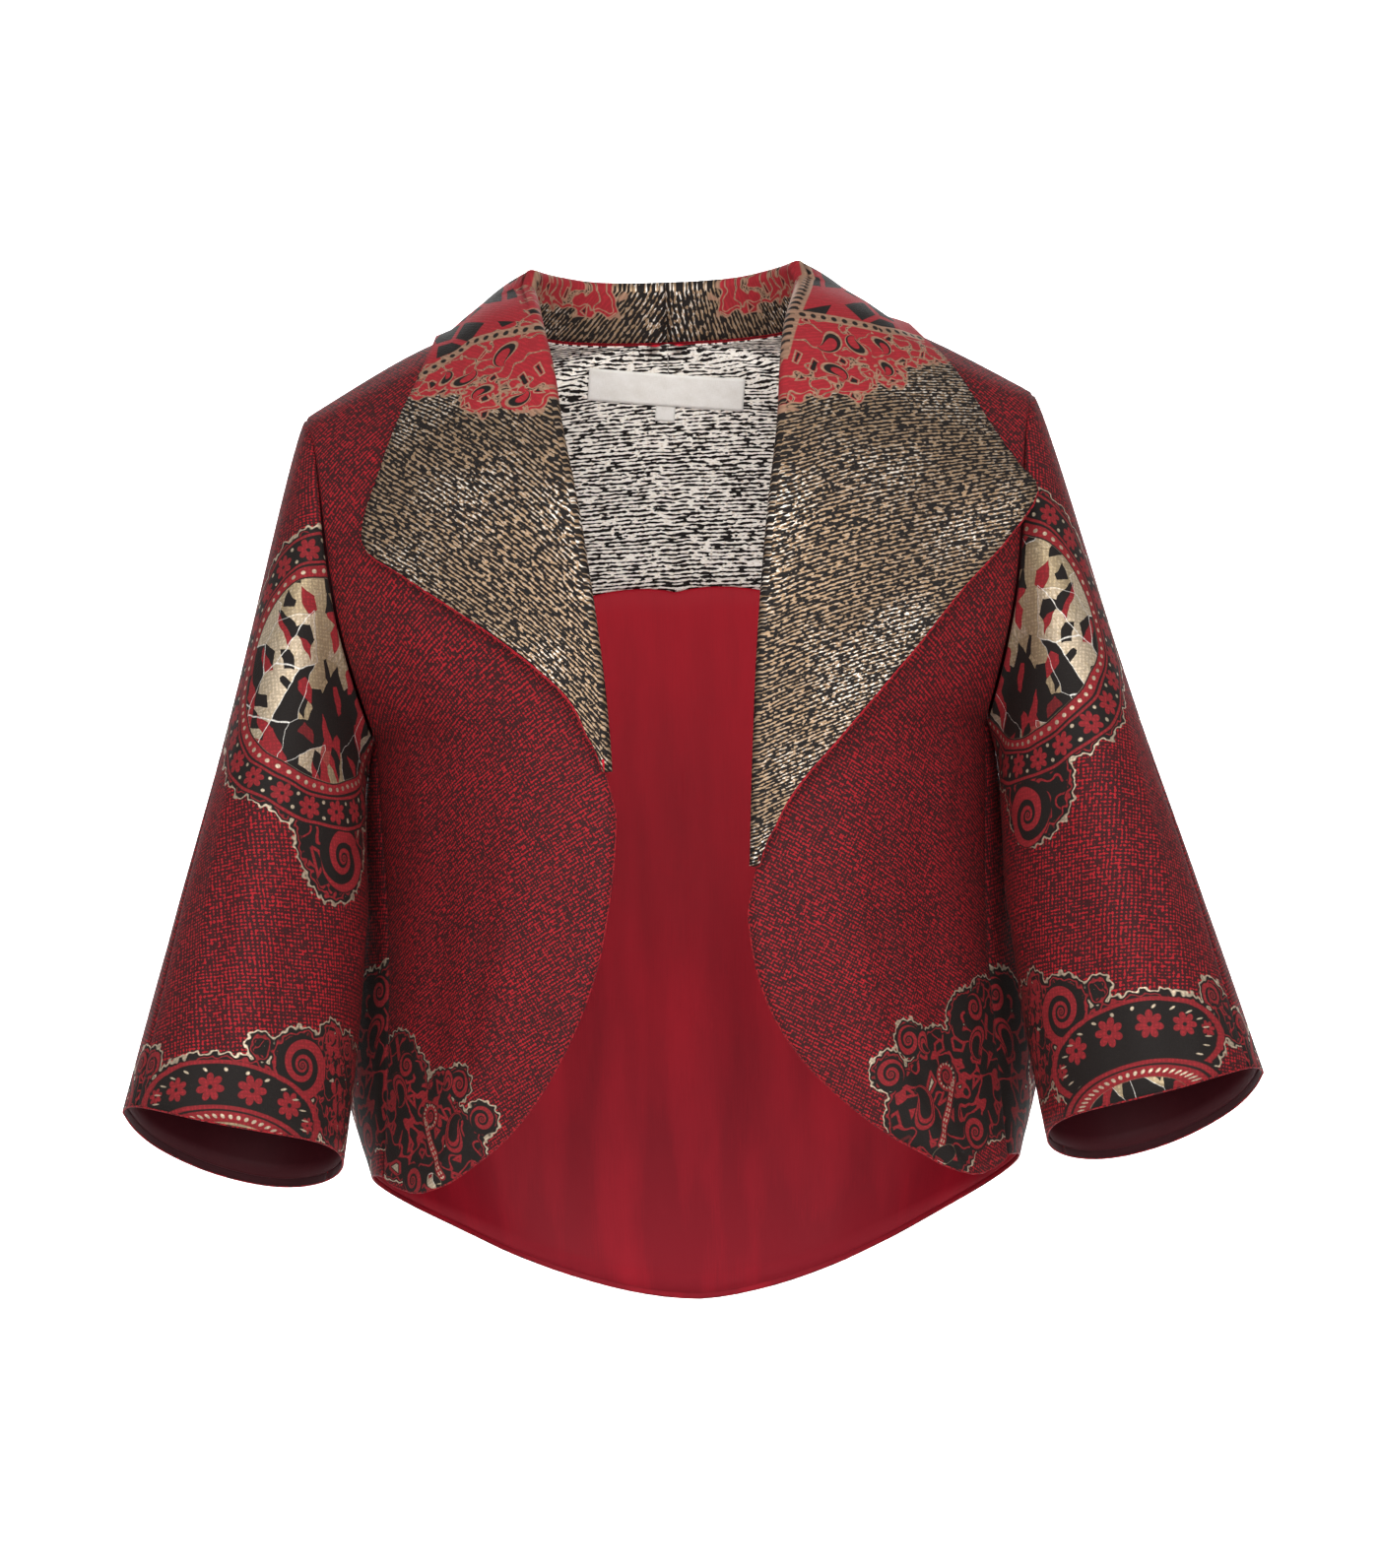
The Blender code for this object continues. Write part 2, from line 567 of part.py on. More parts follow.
class Sheet:
    """An open sheet: points, faces, and the normals of its outer face."""

    def __init__(self, points, faces):
        self.points = np.asarray(points, float)
        self.faces = faces
        self.normals = self.point_normals()

    def point_normals(self):
        normals = np.zeros_like(self.points)
        for face in self.faces:
            corners = self.points[list(face)]
            for k, i in enumerate(face):
                ahead = corners[(k + 1) % 3] - corners[k]
                behind = corners[(k + 2) % 3] - corners[k]
                normal = np.cross(ahead, behind)
                size = np.linalg.norm(normal)
                cosine = ahead @ behind / (np.linalg.norm(ahead) * np.linalg.norm(behind))
                normals[i] += normal / size * math.acos(min(max(cosine, -1.0), 1.0))
        return unit(normals)

    def moved(self, distance):
        return Sheet(self.points + self.normals * distance, self.faces)

    def mirrored(self):
        return Sheet(self.points * np.array([-1.0, 1.0, 1.0]), [face[::-1] for face in self.faces])


def sheet_from_grid(grid, pattern=None, flip=False):
    """A sheet from a full grid of points, with its triangles cut as those of the pattern."""
    faces = grid_faces(grid if pattern is None else pattern)
    if flip:
        faces = [face[::-1] for face in faces]
    return Sheet(grid.reshape(-1, 3), faces)


def panel_inward(front, outer_places, column=1):
    """Direction from the outer edge into a front or the back, at places on that edge."""
    rows = np.array(FRONT_ROWS if front else BACK_ROWS)
    places = np.interp(outer_places, rows[:, 1], rows[:, 0])
    beside = np.array([1.0 - MITRE_STEP, 1.0])
    points = front_points(places, beside, column) if front else back_points(places, beside)
    return unit(points[:, 0] - points[:, 1])


def below_shoulder(front, columns, column=1):
    """Direction down a front or the back from the shoulder line, at places from neck to armhole."""
    places = np.array([0.0, MITRE_STEP])
    if front:
        columns = NECK_PLACE + (1.0 - NECK_PLACE) * np.asarray(columns)
    points = front_points(places, columns, column) if front else back_points(places, columns)
    return unit(points[1] - points[0])


def sleeve_inward(outer_places, front):
    """Direction of the sleeve's first cells, at places on the armhole."""
    turns = 0.5 * outer_places if front else 1.0 - 0.5 * outer_places
    rows = sleeve_cap([0.0, 1.0 / SLEEVE_CAP_ROWS], turns)
    return unit(rows[1] - rows[0])


def beside_outer_edge(outer_places, front):
    """Direction into the piece across the seam of a body panel's outer edge."""
    sleeve = sleeve_inward(np.clip(outer_places, 0.0, 1.0), front)
    panel = panel_inward(not front, np.maximum(outer_places, 1.0))
    return np.where(outer_places[:, None] < 1.0, sleeve, panel)


def lean(inward, partner, normals):
    """How far a wall leans over its seam per depth, from both sides' directions at the seam."""
    across = unit(inward - partner)
    return np.maximum(0.0, (normals * across).sum(axis=-1))


def body_tree(edge_column):
    """The body that a collar half lies on: stand, front, back and sleeve head."""
    stand = stand_points(np.linspace(-1.0, 0.0, 25), np.linspace(0.0, 1.0, 9))
    front = front_points(np.linspace(0.0, 1.0, 81), np.linspace(0.0, 1.0, 41), edge_column)
    back = back_points(np.linspace(0.0, 0.6, 61), np.linspace(0.0, 1.0, 41))
    cap = sleeve_cap(np.linspace(0.02, 1.0, 33), np.linspace(0.0, 1.0, 61))
    points, faces = [], []
    for grid, flip in ((stand, True), (front, True), (back, False), (cap, False)):
        sheet = sheet_from_grid(grid, flip=flip)
        start = len(points)
        points.extend(Vector(point) for point in sheet.points)
        faces.extend(tuple(start + i for i in face) for face in sheet.faces)
    return BVHTree.FromPolygons(points, faces)


def laid_on(rows, tree, clearances):
    """Rows of points pushed out of the body until each row has its clearance."""
    result = rows.copy()
    for i, clearance in enumerate(clearances):
        for j, point in enumerate(rows[i]):
            spot, normal, _, distance = tree.find_nearest(Vector(point))
            offset = Vector(point) - spot
            if offset.dot(normal) < 0.0 and distance < DEEPEST_PUSH:
                result[i, j] = np.array(spot + normal * clearance)
            elif distance < clearance:
                result[i, j] = np.array(spot + offset.normalized() * clearance)
    return result


def front_row_places(side):
    """Rows of a front, with rows at its lapel's tip and break, and the break's row number."""
    _, _, lapel_edge, tip_place = SIDES[side]
    break_place = lapel_edge[-1][0]
    upper_rows = round(FRONT_ROWS_COUNT * tip_place)
    middle_rows = round(FRONT_ROWS_COUNT * (break_place - tip_place))
    lower_rows = FRONT_ROWS_COUNT - upper_rows - middle_rows
    places = np.concatenate([
        np.linspace(0.0, tip_place, upper_rows + 1),
        np.linspace(tip_place, break_place, middle_rows + 1)[1:],
        np.linspace(break_place, 1.0, lower_rows + 1)[1:],
    ])
    return places, upper_rows + middle_rows


def back_row_places():
    """Rows of the back, with rows at the neck seam's centre, the facing's edge and the hem turn."""
    return np.concatenate([
        np.linspace(0.0, BACK_NECK_SHARE, STAND_ROWS + 1),
        np.linspace(BACK_NECK_SHARE, BACK_FACING_SHARE, BACK_YOKE_ROWS + 1)[1:],
        np.linspace(BACK_FACING_SHARE, 1.0 - BACK_HEM_TURN_SHARE, BACK_LOWER_ROWS)[1:],
        [1.0],
    ])


def sleeve_turns(side, front):
    """Places round one half of a sleeve, where the body's rows meet the armhole."""
    rows, places = (FRONT_ROWS, front_row_places(side)[0]) if front else (BACK_ROWS, back_row_places())
    outer_places = table(rows, places)[:, 0]
    outer_places = np.append(outer_places[outer_places < 1.0 - MITRE_STEP], 1.0)
    return 0.5 * outer_places if front else 1.0 - 0.5 * outer_places[::-1]


def front_sheet(side):
    """Stand, front, roll and lapel of one side as one sheet, and its facing's sheet."""
    mirror, edge_column, lapel_edge, _ = SIDES[side]
    back_places = np.linspace(-1.0, 0.0, STAND_ROWS + 1)
    front_places, break_row = front_row_places(side)
    first = STAND_COLUMNS + 1

    def column_places(row_length, inset, neck):
        begin = inset / row_length
        near = np.linspace(begin, neck, first)
        far = np.linspace(neck, 1.0, FRONT_COLUMNS + 1)[1:]
        return np.concatenate([near, far])

    edge = front_edge(front_places, edge_column)
    outer = outer_edge(table(FRONT_ROWS, front_places)[:, 0], True)
    lengths = np.linalg.norm(outer - edge, axis=1) * ROW_LENGTH_SHARE
    insets = np.where(np.arange(len(front_places)) <= break_row, ROLL_BUILD, 0.0)
    necks = np.interp(front_places, [0.0, NECK_FADE_PLACE, 1.0], [NECK_PLACE, *STAND_COLUMN_PLACES])
    columns = np.array([column_places(*row) for row in zip(lengths, insets, necks)])
    body = front_points(front_places, columns, edge_column)

    normals = sheet_from_grid(body, flip=True).normals.reshape(body.shape)
    outer_places = table(FRONT_ROWS, front_places)[:, 0]
    edge_lean = lean(unit(body[:, -2] - body[:, -1]), beside_outer_edge(outer_places, True),
                     normals[:, -1])
    shares = np.clip((columns[0] - NECK_PLACE) / (1.0 - NECK_PLACE), 0.0, 1.0)
    shoulder_lean = lean(unit(body[1] - body[0]), below_shoulder(False, shares), normals[0])
    shoulder_lean[:first] = 0.0
    body = drawn_in(body, "last_column", SHELL_WALL * edge_lean)
    body = drawn_in(body, "first_row", SHELL_WALL * shoulder_lean)

    heights = np.linalg.norm(along(BACK_ROLL, back_places + 1.0)
                             - along(NECK_SEAM[::-1], back_places + 1.0), axis=1)
    stand_columns = np.array([np.linspace(ROLL_BUILD / height, 1.0, first) for height in heights])
    stand = stand_points(back_places, stand_columns)
    stand[-1] = body[0, :first]

    roll = np.concatenate([stand[:-1, 0], body[:break_row + 1, 0]])
    beside = np.concatenate([stand[:-1, 1], body[:break_row + 1, 1]])
    up = unit(roll - beside)
    run = np.gradient(roll, axis=0)
    out = unit(np.cross(up, run))
    places = np.concatenate([back_places[:-1], front_places[:break_row + 1]])

    tree = body_tree(edge_column)
    angles = np.linspace(0.0, math.pi, TURN_COLUMNS + 1)[1:]
    turn = np.stack([roll + ROLL_RADIUS * (out * (1 - math.cos(a)) + up * math.sin(a))
                     for a in angles], axis=1)
    edge_points = table(lapel_edge, places)
    shares = np.linspace(0.0, 1.0, LAPEL_COLUMNS + 1)[1:]
    swell = COLLAR_SWELL * np.exp(-(places / COLLAR_SWELL_SPREAD) ** 2)[:, None] * out
    swell[:, 2] = np.abs(swell[:, 2]) + np.linalg.norm(swell, axis=1)
    lapel = np.stack([turn[:, -1] * (1 - w) + edge_points * w + 4 * w * (1 - w) * swell
                      for w in shares], axis=1)
    clearance = np.interp(places, *np.array(LAPEL_CLEARANCE).T)
    shift = laid_on(lapel, tree, clearance) - lapel
    eased = shift.copy()
    eased[1:-1] = 0.5 * shift[1:-1] + 0.25 * (shift[:-2] + shift[2:])
    lapel = laid_on(lapel + eased, tree, clearance)
    folded = np.concatenate([lapel[:, ::-1], turn[:, ::-1]], axis=1)
    folded[0] = drawn_in(folded, "first_row", SEAM_GAP / 2)[0]
    stand_normals = sheet_from_grid(stand, flip=True).normals.reshape(stand.shape)[0]
    centre_lean = np.abs(stand_normals[:, 0])
    stand = drawn_in(stand, "first_row", SEAM_GAP / 2 + SHELL_WALL * centre_lean)

    points, number = [], {}

    def add(key, point):
        number[key] = len(points)
        points.append(point)

    stand_count = len(back_places) - 1
    fold_columns = folded.shape[1]
    for i in range(len(places)):
        for j in range(fold_columns):
            add((i, j), folded[i, j])
    for i in range(stand_count):
        for j in range(first):
            add((i, fold_columns + j), stand[i, j])
    for i in range(len(front_places)):
        for j in range(body.shape[1]):
            add((stand_count + i, fold_columns + j), body[i, j])
    total_rows = stand_count + len(front_places)
    total_columns = fold_columns + body.shape[1]
    faces, facing = [], []
    for i in range(total_rows - 1):
        for j in range(total_columns - 1):
            keys = [(i, j), (i, j + 1), (i + 1, j + 1), (i + 1, j)]
            if all(key in number for key in keys):
                pair = halved(np.array(points), [tuple(number[key] for key in keys[::-1])])
                faces += pair
                if i < len(places) - 1 and j < fold_columns + STAND_COLUMNS:
                    facing += pair
    sheet = Sheet(points, faces)
    lifted = sheet.moved(-FACING_LIFT).points
    foot = fold_columns + STAND_COLUMNS
    for i in range(stand_count + 1):
        at, beside = number[(i, foot)], number[(i, foot - 1)]
        lifted[at] += unit(lifted[beside] - lifted[at]) * NECK_SEAM_TRIM
    for j in range(first):
        at, beside = number[(0, fold_columns + j)], number[(1, fold_columns + j)]
        lifted[at] += unit(lifted[beside] - lifted[at]) * LINED_DEPTH * centre_lean[j]
    return sheet, part_of(lifted, facing), mirror


def part_of(points, faces):
    """A sheet of the chosen faces, with the points that they use."""
    used = sorted({i for face in faces for i in face})
    renumber = {old: new for new, old in enumerate(used)}
    return Sheet(points[used], [tuple(renumber[i] for i in face) for face in faces])


def make_material(name):
    """A plain material from the table of colours."""
    colour, roughness, metallic = COLOURS[name]
    material = bpy.data.materials.new(name)
    material.use_nodes = True
    shader = material.node_tree.nodes["Principled BSDF"]
    shader.inputs["Base Color"].default_value = (*colour, 1.0)
    shader.inputs["Roughness"].default_value = roughness
    shader.inputs["Metallic"].default_value = metallic
    return material


def make_piece(name, sheet, wall, material, collection):
    """An object from a sheet, thickened inwards from its outer face."""
    mesh = bpy.data.meshes.new(name)
    mesh.from_pydata([tuple(point) for point in sheet.points], [], sheet.faces)
    mesh.materials.append(material)
    mesh.update()
    mesh.shade_smooth()
    piece = bpy.data.objects.new(name, mesh)
    collection.objects.link(piece)
    solidify = piece.modifiers.new("wall", "SOLIDIFY")
    solidify.thickness = wall
    solidify.offset = -1.0
    solidify.use_rim = True
    return piece


def joined_halves(half):
    """Both halves of a sheet that is cut on the fold, welded along the centre."""
    other = half.mirrored()
    points = list(half.points)
    number = []
    for i, point in enumerate(other.points):
        if abs(point[0]) < 1e-7:
            number.append(i)
        else:
            number.append(len(points))
            points.append(point)
    faces = list(half.faces) + [tuple(number[i] for i in face) for face in other.faces]
    return Sheet(points, faces)


def back_grid():
    """Rows of the left half of the back, with a row along the facing's lower edge."""
    places = back_row_places()
    columns = np.linspace(0.0, 1.0, BACK_COLUMNS + 1)
    grid = back_points(places, columns)
    normals = sheet_from_grid(grid).normals.reshape(grid.shape)
    outer_places = table(BACK_ROWS, places)[:, 0]
    edge_lean = lean(unit(grid[:, -2] - grid[:, -1]), beside_outer_edge(outer_places, False),
                     normals[:, -1])
    shoulder_lean = lean(unit(grid[1] - grid[0]), below_shoulder(True, columns), normals[0])
    grid = drawn_in(grid, "first_row", SEAM_GAP + SHELL_WALL * shoulder_lean)
    neck = drawn_in(grid[:STAND_ROWS + 1], "first_column", SEAM_GAP)
    grid[:STAND_ROWS, 0] = neck[:STAND_ROWS, 0]
    grid[STAND_ROWS, 0] += unit(grid[STAND_ROWS + 1, 0] - grid[STAND_ROWS, 0]) * SEAM_GAP
    grid = drawn_in(grid, "last_column", SEAM_GAP + SHELL_WALL * edge_lean)
    return grid, edge_lean, shoulder_lean


def sleeve_half(side, front):
    """Front or back half of a sleeve, parted from its neighbours at its seams."""
    turns = sleeve_turns(side, front)
    grid = sleeve_points(turns)
    other = sleeve_points(1.0 - turns)
    normals = sheet_from_grid(grid).normals.reshape(grid.shape)
    inward = unit(grid[1] - grid[0])
    outer_places = 2.0 * turns if front else 2.0 - 2.0 * turns
    head_lean = lean(inward, panel_inward(front, outer_places), normals[0])
    for edge, at, beside in (("first_column", 0, 1), ("last_column", -1, -2)):
        seam_lean = lean(unit(grid[:, beside] - grid[:, at]), unit(other[:, beside] - other[:, at]),
                         normals[:, at])
        grid = drawn_in(grid, edge, SEAM_GAP / 2 + SHELL_WALL * seam_lean)
    return sheet_from_grid(drawn_in(grid, "first_row", SEAM_GAP + SHELL_WALL * head_lean))


def patch_on(sheet, centre_x, centre_z, width, height, columns, rows):
    """A tilted rectangle of points on the inside of a sheet behind the neck."""
    tree = BVHTree.FromPolygons([Vector(point) for point in sheet.points], sheet.faces)
    grid = np.zeros((rows + 1, columns + 1, 3))
    for i in range(rows + 1):
        for j in range(columns + 1):
            right = width * (j / columns - 0.5)
            up = height * (0.5 - i / rows)
            x = centre_x + right * math.cos(LABEL_TILT) - up * math.sin(LABEL_TILT)
            z = centre_z + right * math.sin(LABEL_TILT) + up * math.cos(LABEL_TILT)
            grid[i, j] = tree.ray_cast(Vector((x, 0.0, z)), Vector((0.0, 1.0, 0.0)))[0]
    return grid


def build():
    """Makes every piece of the jacket."""
    for stale in list(bpy.data.objects):
        bpy.data.objects.remove(stale, do_unlink=True)
    collection = bpy.data.collections.new(GARMENT)
    bpy.context.scene.collection.children.link(collection)
    materials = {name: make_material(name) for name in COLOURS}

    for side in SIDES:
        sheet, facing, mirror = front_sheet(side)
        if mirror < 0:
            sheet, facing = sheet.mirrored(), facing.mirrored()
        make_piece(f"front_{side}", sheet, SHELL_WALL, materials["shell"], collection)
        make_piece(f"facing_{side}", facing, FACING_WALL, materials["facing"], collection)

    grid, edge_lean, shoulder_lean = back_grid()
    normals = sheet_from_grid(grid).normals.reshape(grid.shape)
    normals[STAND_ROWS:, 0, 0] = 0.0
    normals = unit(normals)
    back = joined_halves(sheet_from_grid(grid))
    make_piece("back", back, SHELL_WALL, materials["shell"], collection)
    seam_row = STAND_ROWS + BACK_YOKE_ROWS
    lining_end = len(grid) - 2
    lifted = drawn_in(grid - normals * FACING_LIFT, "last_column", LINED_DEPTH * edge_lean)
    yoke = drawn_in(lifted[:seam_row + 1], "first_row", LINED_DEPTH * shoulder_lean)
    yoke = drawn_in(yoke, "last_row", SEAM_GAP / 2)
    lining = drawn_in(lifted[seam_row:lining_end + 1], "first_row", SEAM_GAP / 2)
    yoke_sheet = joined_halves(sheet_from_grid(yoke, grid[:seam_row + 1]))
    lining_sheet = joined_halves(sheet_from_grid(lining, grid[seam_row:lining_end + 1]))
    make_piece("back_neck_facing", yoke_sheet, FACING_WALL, materials["neck_facing"], collection)
    make_piece("back_lining", lining_sheet, LINING_WALL, materials["lining"], collection)
    inside = yoke_sheet.moved(-FACING_WALL - LABEL_GAP)
    for name, sizes in LABELS.items():
        patch = sheet_from_grid(patch_on(inside, *sizes))
        make_piece(name, patch, LABEL_WALL, materials["label"], collection)

    for side, (mirror, *_) in SIDES.items():
        for half in ("front", "back"):
            sheet = sleeve_half(side, half == "front")
            sheet = sheet.mirrored() if mirror < 0 else sheet
            make_piece(f"sleeve_{half}_{side}", sheet, SHELL_WALL, materials["shell"], collection)
        tube = sleeve_tube(side)
        tube = tube.mirrored() if mirror < 0 else tube
        make_piece(f"sleeve_lining_{side}", tube, LINING_WALL, materials["lining"], collection)


build()
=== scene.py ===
"""The brocade jacket's looks: thin cloth on the solids' forms, woven materials, studio and camera.

Metres, +Z up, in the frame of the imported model. Each piece of cloth is made from the same tables of
curves as its solid, with finer cells, and is laid flat to give the pattern that its weave follows.
"""
import math

import bpy
import numpy as np
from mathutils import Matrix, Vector
from mathutils.bvhtree import BVHTree


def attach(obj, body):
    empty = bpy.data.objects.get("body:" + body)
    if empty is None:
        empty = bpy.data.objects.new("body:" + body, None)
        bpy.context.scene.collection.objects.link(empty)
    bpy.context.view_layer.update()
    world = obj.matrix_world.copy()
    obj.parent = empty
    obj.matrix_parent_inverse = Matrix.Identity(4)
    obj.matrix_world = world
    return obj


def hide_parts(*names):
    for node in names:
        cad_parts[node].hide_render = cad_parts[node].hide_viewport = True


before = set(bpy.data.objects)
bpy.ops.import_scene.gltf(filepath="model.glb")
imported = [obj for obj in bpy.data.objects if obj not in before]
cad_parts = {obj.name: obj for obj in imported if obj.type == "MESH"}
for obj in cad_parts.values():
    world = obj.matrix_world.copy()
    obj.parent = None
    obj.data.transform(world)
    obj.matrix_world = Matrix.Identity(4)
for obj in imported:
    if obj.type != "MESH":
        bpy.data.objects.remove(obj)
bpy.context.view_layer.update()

# Cloth layers, inwards from the outer face: shell, then the face that shows inside, and walls
SHELL_WALL = 0.0010
INNER_FACE = 0.0023
INNER_WALL = 0.0009

# Cells of each piece per cell of its solid
FINER = 3

# Seams: distance from the edge, and how far the cloth sinks there; largest share of a cell that a
# row of points may be moved; radius of the folded edges
SEAM_SINK = [(0.0, 0.0011), (0.0008, 0.0007), (0.0020, 0.0001)]
MOST_OF_A_CELL = 0.9
EDGE_RADIUS = 0.00055

# Collar and lapels; the clearance over the body is a place along the roll and a distance
ROLL_RADIUS = 0.0022
LAPEL_CLEARANCE = [(-1.0, 0.0030), (-0.30, 0.0040), (0.0, 0.0024), (0.10, 0.0020), (0.22, 0.0040)]
COLLAR_SWELL = 0.0024
COLLAR_SWELL_SPREAD = 0.20
ROLL_BUILD = 0.0050
DEEPEST_PUSH = 0.025

# Main sizes, read by the tables below
NECK_HALF = 0.085
SHOULDER_HALF = 0.200
SHOULDER_DROP = 0.052
UNDERARM_DROP = 0.232
BACK_HEM_DROP = 0.556

# Cells along and across each solid
STAND_ROWS = 6
FRONT_ROWS_COUNT = 26
STAND_COLUMNS = 2
FRONT_COLUMNS = 7
NECK_FADE_PLACE = 0.12
TURN_COLUMNS = 4
LAPEL_COLUMNS = 6
BACK_YOKE_ROWS = 5
BACK_LOWER_ROWS = 12
BACK_COLUMNS = 9
SLEEVE_CAP_ROWS = 8
SLEEVE_LOWER_ROWS = 9
SLEEVE_HALF_COLUMNS = 12

# Shares of a panel's length and how its curves are drawn, as in the solids
FOLD_SWELL_POWER = 0.8
FOLD_FADE = 0.12
CREASE_FADE = 0.2
SHOULDER_BLEND = 0.20
ROW_LENGTH_SHARE = 1.06
STAND_COLUMN_PLACES = (0.21, 0.24)
LEAST_TURN = math.radians(6.0)
HANDLE_REACHES = (0.3, 2.2)
CAP_REACH_SHARE = 0.36
CURVE_STEPS = 65

# Visible roll line at the back of the neck, centre back to shoulder line: x, y, z
BACK_ROLL = [
    (0.0000, 0.0550, 0.0215),
    (0.0200, 0.0540, 0.0216),
    (0.0400, 0.0475, 0.0222),
    (0.0560, 0.0330, 0.0236),
    (0.0660, 0.0170, 0.0248),
    (0.0697, 0.0030, 0.0250),
]

# Share of the shoulder line that lies between the roll and the neck point
SHOULDER_ROLL_X = BACK_ROLL[-1][0]
NECK_PLACE = (NECK_HALF - SHOULDER_ROLL_X) / (SHOULDER_HALF - SHOULDER_ROLL_X)

# Roll line, then front edge: z, x on the wearer's right, x on the wearer's left, y
FRONT_EDGE = [
    (0.0250, 0.0697, 0.0697, 0.0030),
    (0.0115, 0.0670, 0.0670, -0.0220),
    (-0.0120, 0.0640, 0.0620, -0.0500),
    (-0.0410, 0.0590, 0.0585, -0.0770),
    (-0.0720, 0.0553, 0.0558, -0.0970),
    (-0.1100, 0.0488, 0.0500, -0.1130),
    (-0.1500, 0.0435, 0.0447, -0.1210),
    (-0.1950, 0.0385, 0.0400, -0.1255),
    (-0.2400, 0.0355, 0.0365, -0.1270),
    (-0.2900, 0.0360, 0.0335, -0.1270),
    (-0.3250, 0.0410, 0.0320, -0.1260),
    (-0.3500, 0.0465, 0.0340, -0.1250),
    (-0.3800, 0.0575, 0.0425, -0.1230),
    (-0.4050, 0.0705, 0.0575, -0.1195),
    (-0.4280, 0.0860, 0.0790, -0.1130),
    (-0.4470, 0.1040, 0.1020, -0.1040),
    (-0.4590, 0.1200, 0.1220, -0.0945),
]

# Neck seam of the back, neck point to centre back: x, y, z
NECK_SEAM = [
    (NECK_HALF, 0.0031, -0.0025),
    (0.0790, 0.0260, -0.0068),
    (0.0640, 0.0480, -0.0095),
    (0.0360, 0.0630, -0.0108),
    (0.0000, 0.0680, -0.0110),
]

# Centre back, neck to hem: x, y, z
CENTRE_BACK = [
    (0.0, 0.0680, -0.0110),
    (0.0, 0.0830, -0.0450),
    (0.0, 0.0980, -0.0950),
    (0.0, 0.1070, -0.1500),
    (0.0, 0.1100, -0.2100),
    (0.0, 0.1075, -0.2800),
    (0.0, 0.1050, -0.3400),
    (0.0, 0.1085, -0.4100),
    (0.0, 0.1150, -0.4800),
    (0.0, 0.1220, -BACK_HEM_DROP),
]

# Armhole, shoulder to underarm: x, z, y of its front half, y of its back half
ARMHOLE = [
    (SHOULDER_HALF, -SHOULDER_DROP, 0.0040, 0.0040),
    (0.1965, -0.0600, -0.0180, 0.0240),
    (0.1928, -0.0760, -0.0340, 0.0420),
    (0.1898, -0.0980, -0.0470, 0.0560),
    (0.1870, -0.1280, -0.0540, 0.0630),
    (0.1822, -0.1640, -0.0560, 0.0600),
    (0.1748, -0.1980, -0.0490, 0.0440),
    (0.1680, -0.2240, -0.0320, 0.0120),
    (0.1665, -UNDERARM_DROP, -0.0160, -0.0160),
]

# Side seam, underarm to hem: x, y, z
SIDE_SEAM = [
    (0.1665, -0.0160, -UNDERARM_DROP),
    (0.1655, -0.0200, -0.2620),
    (0.1635, -0.0240, -0.3050),
    (0.1630, -0.0310, -0.3500),
    (0.1645, -0.0385, -0.3950),
    (0.1665, -0.0440, -0.4330),
    (0.1685, -0.0470, -0.4650),
]

# Rows of a front: place along its inner edge, place along its outer edge (1 is the underarm),
# angle in plan where it starts and ends in degrees, hollow beside the neck, sag of its middle,
# how level it leaves its inner edge (0 straight, 1 level), fullness of its outer end
FRONT_ROWS = [
    (0.00, 0.00, 0.0, 0.0, 0.0185, 0.0, 0.0, 1.0),
    (0.05, 0.07, -2.0, 8.0, 0.0135, 0.0, 0.0, 1.0),
    (0.12, 0.22, -4.0, 25.0, 0.0040, 0.0, 0.0, 1.0),
    (0.25, 0.45, -5.0, 45.0, 0.0, 0.0, 0.0, 1.0),
    (0.37, 0.68, 0.0, 60.0, 0.0, 0.0, 0.0, 1.0),
    (0.47, 0.88, 2.0, 68.0, 0.0, 0.0, 0.0, 1.0),
    (0.56, 1.05, 2.0, 68.0, 0.0, 0.0, 0.0, 1.0),
    (0.70, 1.38, 3.0, 64.0, 0.0, 0.0, 0.0, 1.0),
    (0.80, 1.63, 9.0, 61.0, 0.0, 0.0020, 0.0, 1.0),
    (0.90, 1.84, 20.0, 60.0, 0.0, 0.0050, 0.0, 1.0),
    (1.00, 2.00, 32.0, 60.0, 0.0, 0.0100, 0.0, 1.0),
]

# Rows of the back: the same columns, with the neck seam's centre and the facing's edge on rows
BACK_NECK_SHARE = 0.20
BACK_HEM_TURN_SHARE = 0.005
BACK_FACING_SHARE = 0.41
BACK_ROWS = [
    (0.00, 0.00, 0.0, 0.0, 0.0, 0.0, 0.0, 1.0),
    (0.07, 0.10, 12.0, -14.0, 0.0, -0.0010, 0.3, 1.0),
    (0.20, 0.36, 4.0, -48.0, 0.0, 0.0, 1.0, 1.0),
    (0.30, 0.58, 0.0, -62.0, 0.0, -0.0060, 1.0, 1.0),
    (0.41, 0.82, 0.0, -84.0, 0.0, -0.0120, 1.0, 1.0),
    (0.50, 1.00, 0.0, -108.0, 0.0, -0.0040, 1.0, 1.15),
    (0.58, 1.18, 0.0, -120.0, 0.0, 0.0, 1.0, 1.50),
    (0.72, 1.48, 0.0, -126.0, 0.0, 0.0, 1.0, 1.75),
    (0.86, 1.76, 0.0, -126.0, 0.0, -0.0010, 1.0, 1.85),
    (1.00, 2.00, 0.0, -112.0, 0.0, -0.0020, 1.0, 1.20),
]

